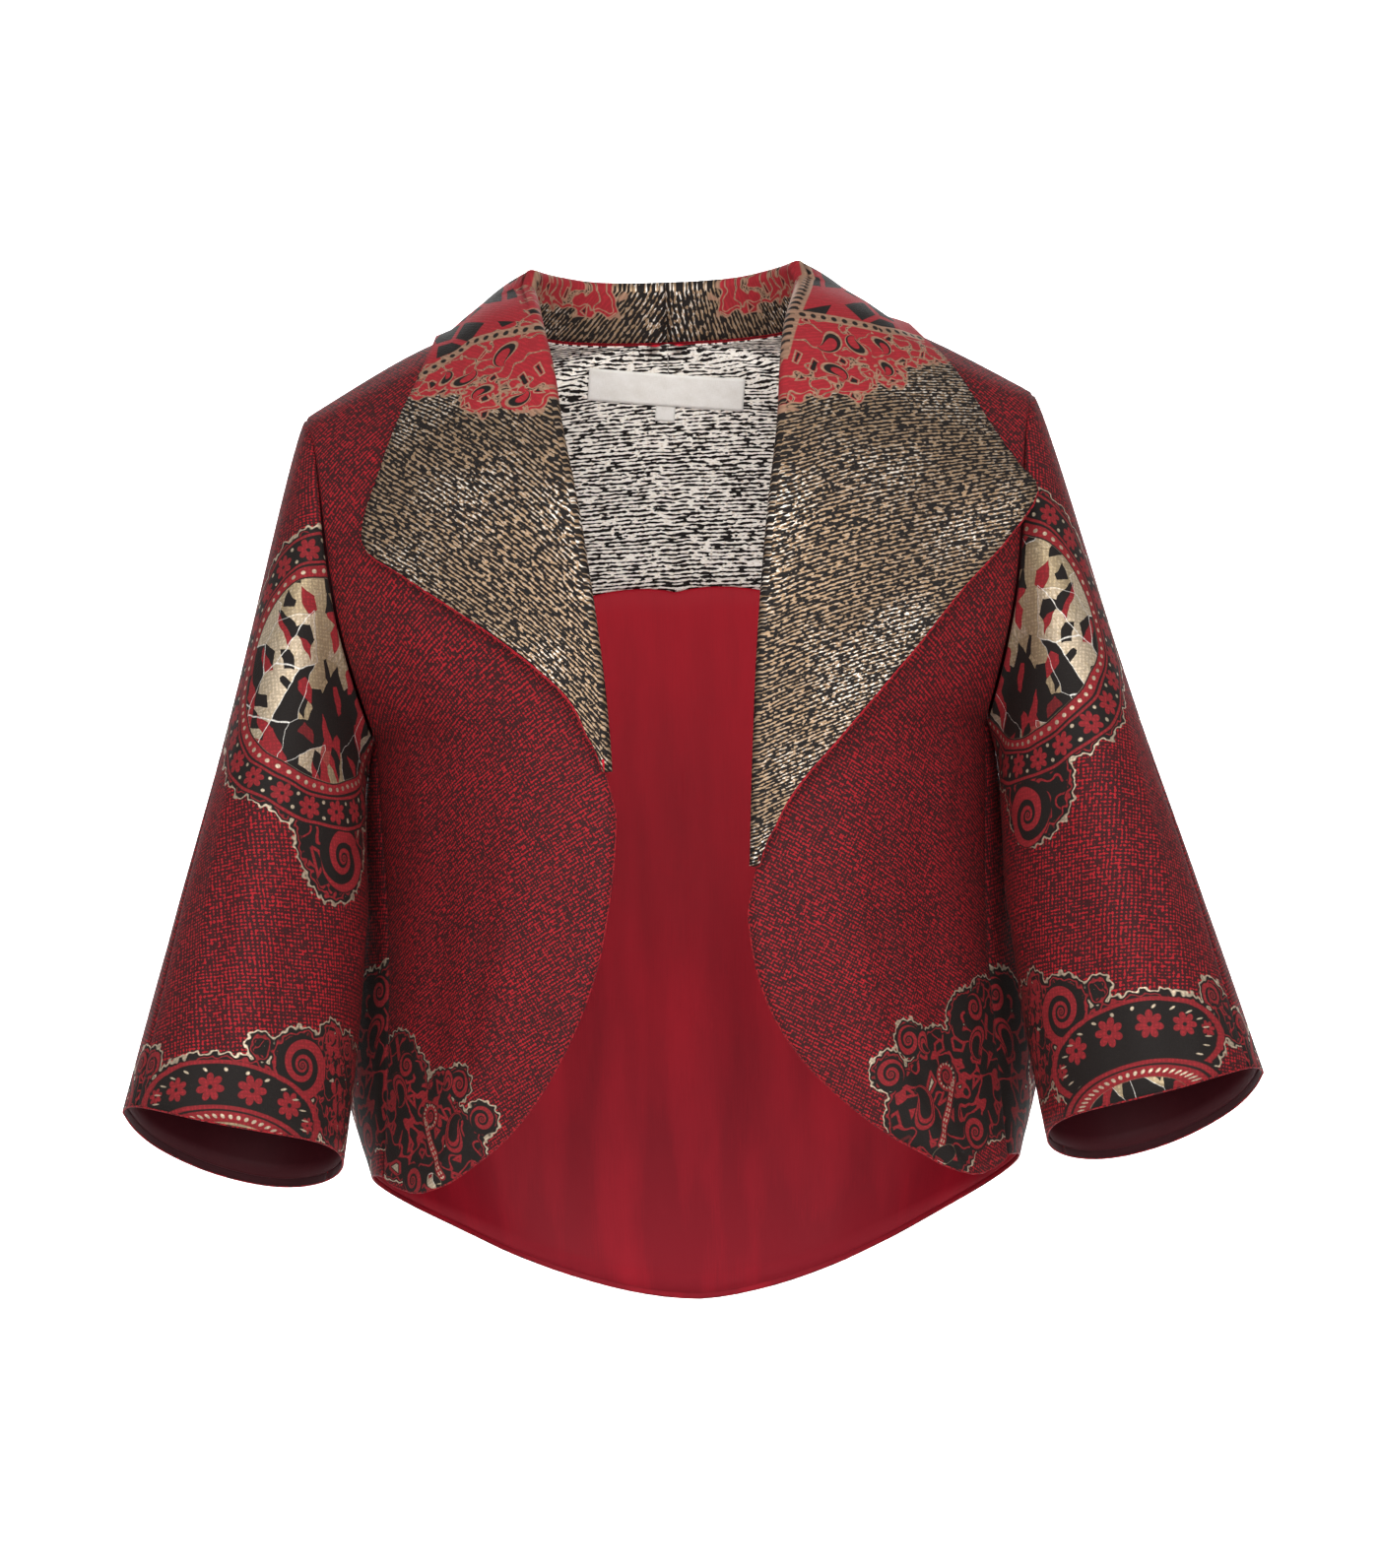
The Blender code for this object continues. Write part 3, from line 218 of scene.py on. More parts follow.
# Outer edge of collar and lapel: place along the roll (-1 centre back, 0 shoulder line), x, y, z
COLLAR_EDGE = [
    (-1.00, 0.0000, 0.1010, -0.0470),
    (-0.60, 0.0500, 0.0950, -0.0450),
    (-0.25, 0.0920, 0.0660, -0.0360),
]
RIGHT_LAPEL_EDGE = COLLAR_EDGE + [
    (0.00, 0.1235, 0.0060, -0.0150),
    (0.05, 0.1265, -0.0180, -0.0250),
    (0.10, 0.1320, -0.0380, -0.0420),
    (0.15, 0.1405, -0.0540, -0.0660),
    (0.20, 0.1500, -0.0670, -0.0930),
    (0.25, 0.1640, -0.0800, -0.1270),
    (0.30, 0.1430, -0.0980, -0.1460),
    (0.35, 0.1180, -0.1130, -0.1640),
    (0.40, 0.0960, -0.1240, -0.1800),
    (0.45, 0.0740, -0.1310, -0.1980),
    (0.50, 0.0570, -0.1330, -0.2160),
    (0.54, 0.0500, -0.1330, -0.2320),
    (0.58, 0.0465, -0.1320, -0.2500),
]
LEFT_LAPEL_EDGE = COLLAR_EDGE + [
    (0.00, 0.1290, 0.0060, -0.0175),
    (0.05, 0.1380, -0.0120, -0.0245),
    (0.10, 0.1500, -0.0280, -0.0370),
    (0.15, 0.1610, -0.0430, -0.0570),
    (0.20, 0.1730, -0.0560, -0.0770),
    (0.25, 0.1850, -0.0660, -0.0970),
    (0.29, 0.1940, -0.0760, -0.1120),
    (0.33, 0.1770, -0.0860, -0.1360),
    (0.38, 0.1490, -0.1020, -0.1650),
    (0.43, 0.1260, -0.1140, -0.1920),
    (0.48, 0.1050, -0.1250, -0.2150),
    (0.53, 0.0820, -0.1310, -0.2400),
    (0.58, 0.0600, -0.1330, -0.2640),
    (0.62, 0.0490, -0.1330, -0.2820),
    (0.66, 0.0440, -0.1320, -0.3020),
]

# Folds and creases: from place down and across, to place down and across, half width, height
FRONT_FOLDS = [
    (0.52, 0.30, 1.10, 0.42, 0.13, 0.0028),
    (0.60, 0.62, 1.10, 0.74, 0.10, -0.0024),
    (0.30, 0.80, 0.58, 0.70, 0.09, -0.0020),
    (0.34, 0.84, 0.72, 0.66, 0.040, 0.0016),
    (0.58, 0.40, 1.12, 0.52, 0.045, -0.0014),
]
BACK_FOLDS = [
    (0.36, 0.22, 1.10, 0.30, 0.10, 0.0030),
    (0.42, 0.48, 1.10, 0.52, 0.10, -0.0030),
    (0.24, 0.74, 0.54, 0.66, 0.09, -0.0028),
    (0.60, 0.00, 1.10, 0.00, 0.12, -0.0022),
]
SLEEVE_FOLDS = [
    (0.22, 0.13, 1.10, 0.17, 0.045, 0.0026),
    (0.30, 0.27, 0.96, 0.25, 0.040, -0.0024),
    (0.18, 0.40, 0.80, 0.36, 0.045, 0.0022),
    (0.20, 0.68, 1.10, 0.66, 0.050, -0.0026),
    (0.34, 0.82, 1.10, 0.80, 0.045, 0.0024),
    (0.30, 0.075, 1.12, 0.095, 0.013, 0.0019),
    (0.40, 0.115, 1.05, 0.125, 0.013, -0.0014),
    (0.46, 0.42, 0.66, 0.30, 0.014, -0.0017),
    (0.56, 0.46, 0.80, 0.33, 0.014, 0.0015),
    (0.62, 0.24, 1.00, 0.20, 0.016, -0.0014),
    (0.45, 0.57, 0.70, 0.72, 0.014, -0.0018),
    (0.60, 0.56, 0.90, 0.70, 0.015, 0.0015),
    (0.36, 0.90, 1.10, 0.925, 0.014, 0.0017),
]

# Uneven creases of the whole back, across from -1 on the right to 1 on the left
BACK_CREASES = [
    (0.66, 0.14, 1.20, 0.09, 0.036, 0.0022),
    (0.58, -0.17, 1.18, -0.23, 0.040, -0.0019),
    (0.60, 0.30, 1.18, 0.37, 0.040, -0.0017),
    (0.48, -0.44, 1.12, -0.38, 0.045, 0.0019),
    (0.30, 0.64, 0.62, 0.50, 0.040, -0.0021),
    (0.27, -0.68, 0.56, -0.55, 0.036, -0.0019),
]

# Each side: mirror, column of its front edge, edge of its lapel, place of the lapel's tip
SIDES = {
    "right": (-1.0, 1, RIGHT_LAPEL_EDGE, 0.25),
    "left": (1.0, 2, LEFT_LAPEL_EDGE, 0.29),
}

# How the sleeve leaves the armhole: place round it, direction x, y, z, reach
SLEEVE_LEAVES = [
    (0.00, 0.70, 0.00, -0.71, 0.010),
    (0.12, 0.60, -0.30, -0.74, 0.014),
    (0.25, 0.50, -0.45, -0.74, 0.022),
    (0.38, 0.40, -0.35, -0.85, 0.016),
    (0.50, 0.30, -0.15, -0.94, 0.010),
    (0.62, 0.40, 0.05, -0.91, 0.016),
    (0.75, 0.52, 0.12, -0.84, 0.024),
    (0.88, 0.60, 0.10, -0.79, 0.016),
    (1.00, 0.70, 0.00, -0.71, 0.010),
]

# Sleeve rings: place down the lower sleeve, centre x, y, z, half width, half depth,
# lean of the ring to the front and outwards in degrees, seam's turn to the front in degrees,
# drop of its front and of its back
SLEEVE_RINGS = [
    (0.00, 0.2150, -0.0280, -0.2700, 0.0430, 0.0700, 9.0, 7.0, 24.0, 0.0, 0.0),
    (0.35, 0.2235, -0.0450, -0.3280, 0.0505, 0.0700, 13.0, 9.0, 28.0, 0.001, 0.0),
    (0.68, 0.2330, -0.0620, -0.3840, 0.0555, 0.0705, 17.0, 11.0, 32.0, 0.005, 0.002),
    (1.00, 0.2440, -0.0790, -0.4390, 0.0590, 0.0715, 21.0, 13.0, 36.0, 0.013, 0.0045),
]
SLEEVE_CAP_SHARE = 0.5

# Woven label and its size tag on the neck facing: centre x, z, width, height, columns, rows,
# how far its face stands off the facing, and its thickness; the tag's top is under the label
LABEL_TILT = math.radians(-5.8)
LABELS = {
    "label": (-0.0015, -0.0370, 0.0880, 0.0175, 44, 10, 0.0010, 0.0005),
    "size_tag": (-0.0025, -0.0483, 0.0110, 0.0112, 8, 8, 0.0004, 0.0003),
}

# Sleeve lining: places down the lower sleeve, rows of cells, flat width and length in millimetres
SLEEVE_LINING_PLACES = (0.49, 0.98)
SLEEVE_LINING_ROWS = 4
SLEEVE_LINING_FLAT = (400.0, 90.0)

# Facings: how far their outer edge and their foot are cut back
LAPEL_INSET = 0.0007
FOOT_INSET = 0.0009

# Length over which a lapel narrows to its lower point, and the share of its width left there
LAPEL_TAPER = 0.022
LAPEL_POINT_SHARE = 0.12

# Half width of the strip that joins the two halves of the back
MIDDLE_STRIP = 0.0003

# Colours, linear
RED = (0.34, 0.013, 0.019)
MAROON = (0.052, 0.008, 0.010)
TAN = (0.34, 0.222, 0.130)
PALE_GOLD = (0.62, 0.50, 0.36)
BLACK = (0.014, 0.011, 0.010)
PAISLEY_RED = (0.27, 0.019, 0.024)
COLLAR_RED = (0.36, 0.022, 0.030)
ROSE_TAN = (0.40, 0.23, 0.15)
SHARD_GOLD = (0.47, 0.36, 0.22)
# The lame's own near-white, also used for the painted glints on the gold cloth and on the shards
LAME_AND_PAINTED_GLINT = (1.0, 0.95, 0.87)
LINING_RED = (0.60, 0.013, 0.030)
# Painted shade: the deep satin colours darken the linings in soft streaks and towards the hem
LINING_PAINTED_SHADE = (0.215, 0.006, 0.014)
SLEEVE_LINING = (0.050, 0.006, 0.009)
SLEEVE_LINING_PAINTED_SHADE = (0.028, 0.004, 0.006)
TAPE_PALE = (0.93, 0.91, 0.86)
TAPE_SOILED = (0.78, 0.75, 0.68)
PAPER = ((0.90, 0.90, 0.90), (0.93, 0.93, 0.93))
RED_SHEEN = (1.0, 0.3, 0.25)
SATIN_SHEEN = (1.0, 0.3, 0.3)

# Gloss of all the cloth, and height of its relief at full strength
CLOTH_SPECULAR = 0.12
RELIEF_HEIGHT = 0.001

# Red cloth: angles of its two threads in degrees, and the first one's share
FRONT_THREADS = (-30.0, 60.0, 0.62)
BACK_THREADS = (88.0, 4.0, 0.5)
SLEEVE_THREADS = (85.0, 0.0, 0.5)

# Angle of the gold cloth's threads on each lapel's flat pattern, in degrees
GOLD_ANGLE = {"right": -60.0, "left": -33.0}

# Figures in millimetres on each piece's flat pattern. Sleeve: medallion's middle and radius, and
# the oval of its tail; the cuff's shift from the right one, its tilt, and its beads' sink
SLEEVE_FIGURES = {
    "right": ((182.0, -196.0, 56.0, (175.0, -272.0, 31.0, 46.0, 10.0)), (0.0, 0.0, 10.4, 4.0)),
    "left": ((172.0, -183.0, 55.0, (178.0, -262.0, 29.0, 38.0, 8.0)), (-12.0, 15.5, 10.4, 13.0)),
}

# Back halves, seen mirrored: medallion and tail; the cuff's middle, turn, middle on a front half
SLEEVE_BACK_ROUND = (228.0, -236.0, 56.0, (219.0, -312.0, 29.0, 44.0, 10.0))
SLEEVE_BACK_CUFF = (293.0, -450.0, 6.7, 204.0, -438.0)

# Corners of the back: how far the fronts' corner figure is shifted, beyond the side seams
BACK_CORNER_SHIFT = (86.0, 42.0)

# Medallion, outwards from its shards: lines, flowers (place, count, radius), beads and outer edge
MEDALLION_LINES = ((23.6, 25.2), (8.3, 9.7))
MEDALLION_FLOWERS = (16.4, 25, 6.6)
MEDALLION_BEADS = (3.9, 66, 1.15)
MEDALLION_EDGE = 29.0
PETALS = 7

# Cuff: middle and half size of its ground, discs joined to it, large scroll, curls with their sense
CUFF_MIDDLE = (242.5, -427.3)
CUFF_HALF = (57.5, 27.5)
CUFF_DISCS = ((202.0, -404.0, 20.0), (180.0, -389.0, 11.0), (162.0, -393.0, 11.0),
              (146.0, -400.0, 12.0), (168.0, -420.0, 27.0), (226.0, -396.0, 8.5),
              (294.0, -397.5, 10.5), (306.0, -409.0, 15.0))
CUFF_SCROLL = (202.0, -404.0)
CUFF_CURLS = ((181.0, -388.0, 7.0, 1.0), (163.0, -391.5, 6.5, 1.0),
              (293.0, -398.0, 7.5, -1.0), (147.0, -399.0, 7.0, 1.0))
CUFF_BRANCH = (179.0, -396.0, 166.0, -440.0)

# Arch on the cuff: half size, flowers, and the middle and half size of the figure under it
ARCH_HALF = (52.8, 22.7)
ARCH_FLOWERS = ((44.5, 1.6, 4.6), (31.0, 5.4, 6.6), (12.5, 8.7, 7.6),
                (-9.5, 10.3, 8.0), (-31.5, 7.6, 7.4), (-45.5, 0.5, 4.4))
ARCH_LOWER = (-5.0, -15.6, 50.0, 20.0)

# Drop: how much it bends, and how fat it is
DROP_SWIRL = 0.7
DROP_FATNESS = 0.55

# Corner of a front: discs of its ground, scrolls, drops, beaded scroll and gold patch
CORNERS = {
    "right": (((131.0, -455.0, 12.5), (112.0, -478.0, 12.0), (150.0, -464.0, 18.0),
               (176.0, -447.0, 12.0), (194.0, -441.0, 21.0), (150.0, -502.0, 40.0),
               (192.0, -482.0, 40.0)),
              ((131.0, -456.0, 9.0, 1.0, 0.1), (112.5, -478.0, 8.5, 1.0, 0.3),
               (177.0, -520.0, 10.0, -1.0, 0.2), (186.0, -444.0, 8.0, -1.0, 0.6)),
              ((128.0, -478.0, 23.0, -70.0), (194.0, -470.0, 20.0, 80.0),
               (146.0, -458.0, 12.0, 120.0)),
              (160.0, -477.0, 9.0, 146.0, -516.0), (154.0, -519.0, 7.0, 5.0, 20.0)),
    "left": (((121.0, -436.0, 12.5), (103.0, -455.0, 13.5), (146.0, -450.0, 21.0),
              (178.0, -427.0, 20.0), (200.0, -421.0, 21.0), (140.0, -486.0, 42.0),
              (190.0, -462.0, 45.0)),
             ((121.0, -437.0, 9.5, 1.0, 0.1), (104.0, -457.0, 9.5, 1.0, 0.3),
              (175.0, -500.0, 11.0, -1.0, 0.2), (186.0, -420.0, 9.0, -1.0, 0.6)),
             ((121.0, -470.0, 25.0, -75.0), (186.0, -452.0, 20.0, 80.0),
              (138.0, -444.0, 13.0, 120.0)),
             (152.0, -462.0, 10.0, 138.0, -505.0), (140.0, -512.0, 10.0, 6.0, 20.0)),
}

# Neck seam on a facing: a place on it, the direction along it, and the gold band's width above it;
# the slanting and the level line that bound the stand
STAND_SEAM = (97.0, 76.0, 60.9)
STAND_GOLD = 7.5
STAND_SLANT = (57.0, 40.0, 0.46)
STAND_LEVEL = 38.0

# Collar figures: slope and level of their edge and their top, bulges, beaded arms, drops, and the
# line above which the ground has leaves
COLLARS = {
    "right": ((0.65, -46.0, 84.0), ((15.0, -59.0, 11.0), (36.0, -69.0, 11.0), (2.0, -36.0, 9.0)),
              ((-8.0, -22.0, 20.0, -15.6), (20.0, -15.6, 50.0, -31.0), (53.0, -60.0, 58.0, 30.0)),
              ((30.0, -44.0, 14.0, 60.0), (15.0, -38.0, 12.0, 200.0), (12.0, -58.0, 10.0, 20.0),
               (34.0, -66.0, 11.0, 200.0), (3.0, -30.0, 9.0, 250.0)), (-0.10, -14.0)),
    "left": ((1.0, -44.0, 84.0), ((18.0, -60.0, 13.0), (2.0, -46.0, 11.0), (32.0, -68.0, 10.0)),
             ((49.0, 34.0, 49.0, -56.0), (48.0, -28.0, 8.0, -15.0), (8.0, -15.0, -10.0, -2.0)),
             ((35.0, -45.0, 14.0, 120.0), (20.0, -30.0, 12.0, 240.0), (6.0, -33.0, 11.0, 60.0),
              (21.0, -62.0, 12.0, 30.0), (3.0, -48.0, 10.0, 80.0)), (-0.38, -10.0)),
}

# Studio: floor, wall far behind, their bend, half width, reach in front and top; camera's place and
# roll, and the frame's height at the jacket; lights as name, place, aim, width, height, power
FLOOR_Z = -1.5
WALL_Y = 4.5
SWEEP_BEND = 0.6
SWEEP_HALF = 3.5
SWEEP_FRONT = -4.0
SWEEP_TOP = 2.6
CAMERA_REACH = 2.4
CAMERA_X, CAMERA_Z = 0.0038, -0.260
CAMERA_ROLL = math.radians(2.0)
SENSOR_HEIGHT = 24.0
FRAME_HEIGHT = 0.85968
WORLD_LIGHT = 0.42
LIGHTS = [
    ("front", (0.0, -2.4, 0.35), (0.0, 0.0, -0.22), 2.4, 1.6, 54.0),
    ("key", (-1.6, -1.9, 0.6), (0.0, 0.0, -0.25), 1.2, 1.6, 8.0),
    ("fill", (1.6, -1.9, 0.2), (0.0, 0.0, -0.25), 1.2, 1.6, 12.0),
    ("rear", (0.0, 2.9, 1.4), (0.0, 0.0, -0.25), 1.6, 0.8, 30.0),
    ("wall_left", (-1.7, 3.2, 0.3), (-0.2, 4.5, -0.5), 0.8, 2.2, 100.0),
    ("wall_right", (1.7, 3.2, 0.3), (0.2, 4.5, -0.5), 0.8, 2.2, 100.0),
]


def slopes(marks, values):
    """Slope at each mark of a smooth curve through the values."""
    gaps = np.diff(marks)[:, None]
    secants = np.diff(values, axis=0) / gaps
    inner = (gaps[:-1] * secants[1:] + gaps[1:] * secants[:-1]) / (gaps[:-1] + gaps[1:])
    first = 1.5 * secants[:1] - 0.5 * inner[:1]
    last = 1.5 * secants[-1:] - 0.5 * inner[-1:]
    return np.vstack([first, inner, last])


def smooth(marks, values, places):
    """Values between the marks, on a smooth curve through them."""
    marks = np.asarray(marks, float)
    values = np.asarray(values, float)
    places = np.atleast_1d(np.asarray(places, float))
    tangent = slopes(marks, values)
    index = np.clip(np.searchsorted(marks, places) - 1, 0, len(marks) - 2)
    step = (marks[index + 1] - marks[index])[:, None]
    t = (places[:, None] - marks[index][:, None]) / step
    start = (1 + 2 * t) * (1 - t) ** 2 * values[index] + t * (1 - t) ** 2 * step * tangent[index]
    end = t * t * (3 - 2 * t) * values[index + 1] - t * t * (1 - t) * step * tangent[index + 1]
    return start + end


def table(rows, places):
    """Reads a table whose first column is the place, for each place asked."""
    rows = np.asarray(rows, float)
    return smooth(rows[:, 0], rows[:, 1:], places)


def along(points, places):
    """Points on a smooth curve, 0 at its start and 1 at its end by length."""
    points = np.asarray(points, float)
    steps = np.linalg.norm(np.diff(points, axis=0), axis=1)
    marks = np.concatenate([[0.0], np.cumsum(steps)])
    return smooth(marks / marks[-1], points, places)


def unit(vectors):
    """Vectors scaled to length 1."""
    return vectors / np.maximum(np.linalg.norm(vectors, axis=-1, keepdims=True), 1e-12)


def fold_heights(folds, down, across):
    """Height of the folds at each place down and across a panel, as a grid."""
    down = np.asarray(down, float)[:, None]
    across = np.asarray(across, float)
    across = across if across.ndim == 2 else across[None, :]
    heights = np.zeros(np.broadcast_shapes(down.shape, across.shape))
    for down_a, across_a, down_b, across_b, half_width, height in folds:
        share = np.clip((down - down_a) / (down_b - down_a), 0.0, 1.0)
        line = across_a + (across_b - across_a) * share
        swell = np.sin(math.pi * share) ** FOLD_SWELL_POWER
        heights = heights + height * swell * np.exp(-((across - line) / half_width) ** 2)
    return heights


def armhole(places, front):
    """The armhole, 0 at the shoulder and 1 at the underarm."""
    rows = [(x, y_front if front else y_back, z) for x, z, y_front, y_back in ARMHOLE]
    return along(rows, places)


def outer_edge(places, front):
    """Armhole from 0 to 1, then the side seam from 1 to 2."""
    places = np.atleast_1d(np.asarray(places, float))
    upper = armhole(np.clip(places, 0.0, 1.0), front)
    lower = along(SIDE_SEAM, np.clip(places - 1.0, 0.0, 1.0))
    return np.where(places[:, None] <= 1.0, upper, lower)


def bowed_row(start, end, first_angle, last_angle, fullness, places):
    """Points on an arc in plan that leaves the start and meets the end at the given angles."""
    turn = math.radians(abs(last_angle - first_angle))
    leave = np.array([math.cos(math.radians(first_angle)), math.sin(math.radians(first_angle))])
    meet = np.array([math.cos(math.radians(last_angle)), math.sin(math.radians(last_angle))])
    chord = end[:2] - start[:2]
    third = np.linalg.norm(chord) / 3.0
    reach_a = reach_b = third
    if turn > LEAST_TURN:
        cross = leave[0] * meet[1] - leave[1] * meet[0]
        to_corner = (chord[0] * meet[1] - chord[1] * meet[0]) / cross
        from_corner = (leave[0] * chord[1] - leave[1] * chord[0]) / cross
        share = 4.0 / 3.0 * math.tan(turn / 4.0) / math.tan(turn / 2.0)
        shortest, longest = (reach * third for reach in HANDLE_REACHES)
        reach_a = min(max(share * to_corner, shortest), longest)
        reach_b = min(max(share * from_corner, shortest), longest)
    reach_b *= fullness
    t = np.linspace(0.0, 1.0, CURVE_STEPS)[:, None]
    corners = [start[:2], start[:2] + reach_a * leave, end[:2] - reach_b * meet, end[:2]]
    plan = ((1 - t) ** 3 * corners[0] + 3 * t * (1 - t) ** 2 * corners[1]
            + 3 * t * t * (1 - t) * corners[2] + t ** 3 * corners[3])
    lengths = np.concatenate([[0.0], np.cumsum(np.linalg.norm(np.diff(plan, axis=0), axis=1))])
    lengths /= lengths[-1]
    return np.stack([np.interp(places, lengths, plan[:, axis]) for axis in (0, 1)], axis=-1)


def panel_rows(inner, rows, outer_front, row_places, column_places):
    """Rows of a front or back panel, as an array of points."""
    values = table(rows, row_places)
    outer = outer_edge(values[:, 0], outer_front)
    points = []
    for i, start in enumerate(inner):
        places = column_places[i] if np.ndim(column_places) == 2 else column_places
        plan = bowed_row(start, outer[i], values[i, 1], values[i, 2], values[i, 6], places)
        near_neck = places / NECK_PLACE
        level = values[i, 5] * places * (3.0 - 2.0 * places) + 1.0 - values[i, 5]
        height = start[2] + (outer[i, 2] - start[2]) * places * level
        height = height - values[i, 3] * near_neck * np.exp(1.0 - near_neck)
        height = height - values[i, 4] * 4.0 * places * (1.0 - places)
        points.append(np.column_stack([plan, height]))
    return np.array(points)


def front_edge(places, column):
    """Visible roll line and front edge of one front, by length."""
    return along([(row[column], row[3], row[0]) for row in FRONT_EDGE], places)


def swelled(points, folds, down, across):
    """Points of a body panel moved out by its folds, away from the body's upright middle."""
    across = np.asarray(across, float)
    fade = np.clip(np.minimum(across, 1.0 - across) / FOLD_FADE, 0.0, 1.0)
    heights = fold_heights(folds, down, across) * fade
    away = unit(points * np.array([1.0, 1.0, 0.0]))
    return points + away * heights[..., None]


def front_points(places, columns, column):
    """Outer face of a front, for rows at the places, columns from edge to armhole."""
    points = panel_rows(front_edge(places, column), FRONT_ROWS, True, places, columns)
    return swelled(points, FRONT_FOLDS, places, columns)


def back_inner(places):
    """Neck seam, then centre back."""
    places = np.atleast_1d(np.asarray(places, float))
    neck = along(NECK_SEAM, np.clip(places / BACK_NECK_SHARE, 0.0, 1.0))
    below = (places - BACK_NECK_SHARE) / (1 - BACK_NECK_SHARE)
    centre = along(CENTRE_BACK, np.clip(below, 0.0, 1.0))
    return np.where(places[:, None] <= BACK_NECK_SHARE, neck, centre)


def back_points(places, columns):
    """Outer face of the left half of the back, its first row on the front's shoulder line."""
    places = np.asarray(places, float)
    columns = np.asarray(columns, float)
    shoulder_columns = NECK_PLACE + (1.0 - NECK_PLACE) * columns
    shoulder = panel_rows(front_edge([0.0], 1), FRONT_ROWS, True, [0.0], shoulder_columns)
    own = panel_rows(back_inner([0.0]), BACK_ROWS, False, [0.0], columns)
    blend = np.clip(1.0 - places / SHOULDER_BLEND, 0.0, 1.0) ** 2
    points = panel_rows(back_inner(places), BACK_ROWS, False, places, columns)
    points = points + (shoulder - own) * blend[:, None, None]
    middle = 0.5 + 0.5 * columns
    heights = fold_heights(BACK_FOLDS, places, columns)
    fade = np.clip((1.0 - middle) / (0.5 * FOLD_FADE), 0.0, 1.0)
    away = unit(points * np.array([1.0, 1.0, 0.0]))
    return points + away * (heights * fade)[..., None]


def stand_points(places, columns):
    """Outer face of the collar stand: rows from centre back to the shoulder line."""
    top = along(BACK_ROLL, places + 1.0)
    foot = along(NECK_SEAM[::-1], places + 1.0)
    columns = np.asarray(columns, float)
    columns = columns if columns.ndim == 2 else np.tile(columns, (len(places), 1))
    return top[:, None, :] + (foot - top)[:, None, :] * columns[:, :, None]


def sleeve_ring(places, turns):
    """Rings of the lower sleeve: turns run 0 overarm seam, 0.25 front, 0.5 underarm seam."""
    values = table(SLEEVE_RINGS, places)
    rings = []
    for cx, cy, cz, half_width, half_depth, forward, outward, seam, front_drop, back_drop in values:
        tilt, lean = math.radians(forward), math.radians(outward)
        across = np.array([math.cos(lean), 0.0, math.sin(lean)])
        ahead = np.array([0.0, -math.cos(tilt), math.sin(tilt)])
        angle = math.radians(seam) + 2.0 * math.pi * np.asarray(turns)
        side, front = np.cos(angle), np.sin(angle)
        ring = np.array([cx, cy, cz]) + half_width * side[:, None] * across
        ring = ring + half_depth * front[:, None] * ahead
        ring[:, 2] -= front ** 2 * np.where(front > 0.0, front_drop, back_drop)
        rings.append(ring)
    return np.array(rings)


def sleeve_middle(down):
    """Middle of a sleeve at each place down it."""
    top = np.array([SHOULDER_HALF, 0.0, -SHOULDER_DROP])
    first = np.array(SLEEVE_RINGS[0][1:4])
    share = np.clip(down / SLEEVE_CAP_SHARE, 0.0, 1.0)[:, None]
    upper = top + (first - top) * share
    below = (down - SLEEVE_CAP_SHARE) / (1.0 - SLEEVE_CAP_SHARE)
    lower = table(SLEEVE_RINGS, np.clip(below, 0.0, 1.0))
    return np.where(down[:, None] < SLEEVE_CAP_SHARE, upper, lower[:, :3])


def sleeve_cap(places, turns):
    """Sleeve head, from the armhole at 0 to the first ring at 1."""
    turns = np.asarray(turns, float)
    front = armhole(np.clip(2.0 * turns, 0.0, 1.0), True)
    back = armhole(np.clip(2.0 - 2.0 * turns, 0.0, 1.0), False)
    start = np.where(turns[:, None] <= 0.5, front, back)
    leave = table(SLEEVE_LEAVES, turns)
    near = sleeve_ring([0.0, 0.05], turns)
    down = unit(near[1] - near[0])
    reach = CAP_REACH_SHARE * np.linalg.norm(near[0] - start, axis=1, keepdims=True)
    a = start + unit(leave[:, :3]) * leave[:, 3:]
    b = near[0] - down * reach
    t = np.asarray(places, float)[:, None, None]
    return ((1 - t) ** 3 * start + 3 * t * (1 - t) ** 2 * a + 3 * t * t * (1 - t) * b
            + t ** 3 * near[0])


def grid_triangles(grid, flip):
    """Points and triangles of a full grid."""
    number, _ = numbered(grid)
    quads = cells(number, -1 if flip else 1)
    return np.concatenate([quads[:, [0, 1, 2]], quads[:, [0, 2, 3]]])


def body_tree(edge_column):
    """The body that a collar half lies on: stand, front, back and sleeve head."""
    stand = stand_points(np.linspace(-1.0, 0.0, 25), np.linspace(0.0, 1.0, 9))
    front = front_points(np.linspace(0.0, 1.0, 81), np.linspace(0.0, 1.0, 41), edge_column)
    back = back_points(np.linspace(0.0, 0.6, 61), np.linspace(0.0, 1.0, 41))
    cap = sleeve_cap(np.linspace(0.02, 1.0, 33), np.linspace(0.0, 1.0, 61))
    points, faces = [], []
    for grid, flip in ((stand, True), (front, True), (back, False), (cap, False)):
        start = len(points)
        points.extend(Vector(point) for point in grid.reshape(-1, 3))
        faces.extend(tuple(face) for face in (start + grid_triangles(grid, flip)).tolist())
    return BVHTree.FromPolygons(points, faces)


def laid_on(rows, tree, clearances):
    """Rows of points pushed out of the body until each row has its clearance."""
    result = rows.copy()
    for i, clearance in enumerate(clearances):
        for j, point in enumerate(rows[i]):
            spot, normal, _, distance = tree.find_nearest(Vector(point))
            offset = Vector(point) - spot
            if offset.dot(normal) < 0.0 and distance < DEEPEST_PUSH:
                result[i, j] = np.array(spot + normal * clearance)
            elif distance < clearance:
                result[i, j] = np.array(spot + offset.normalized() * clearance)
    return result


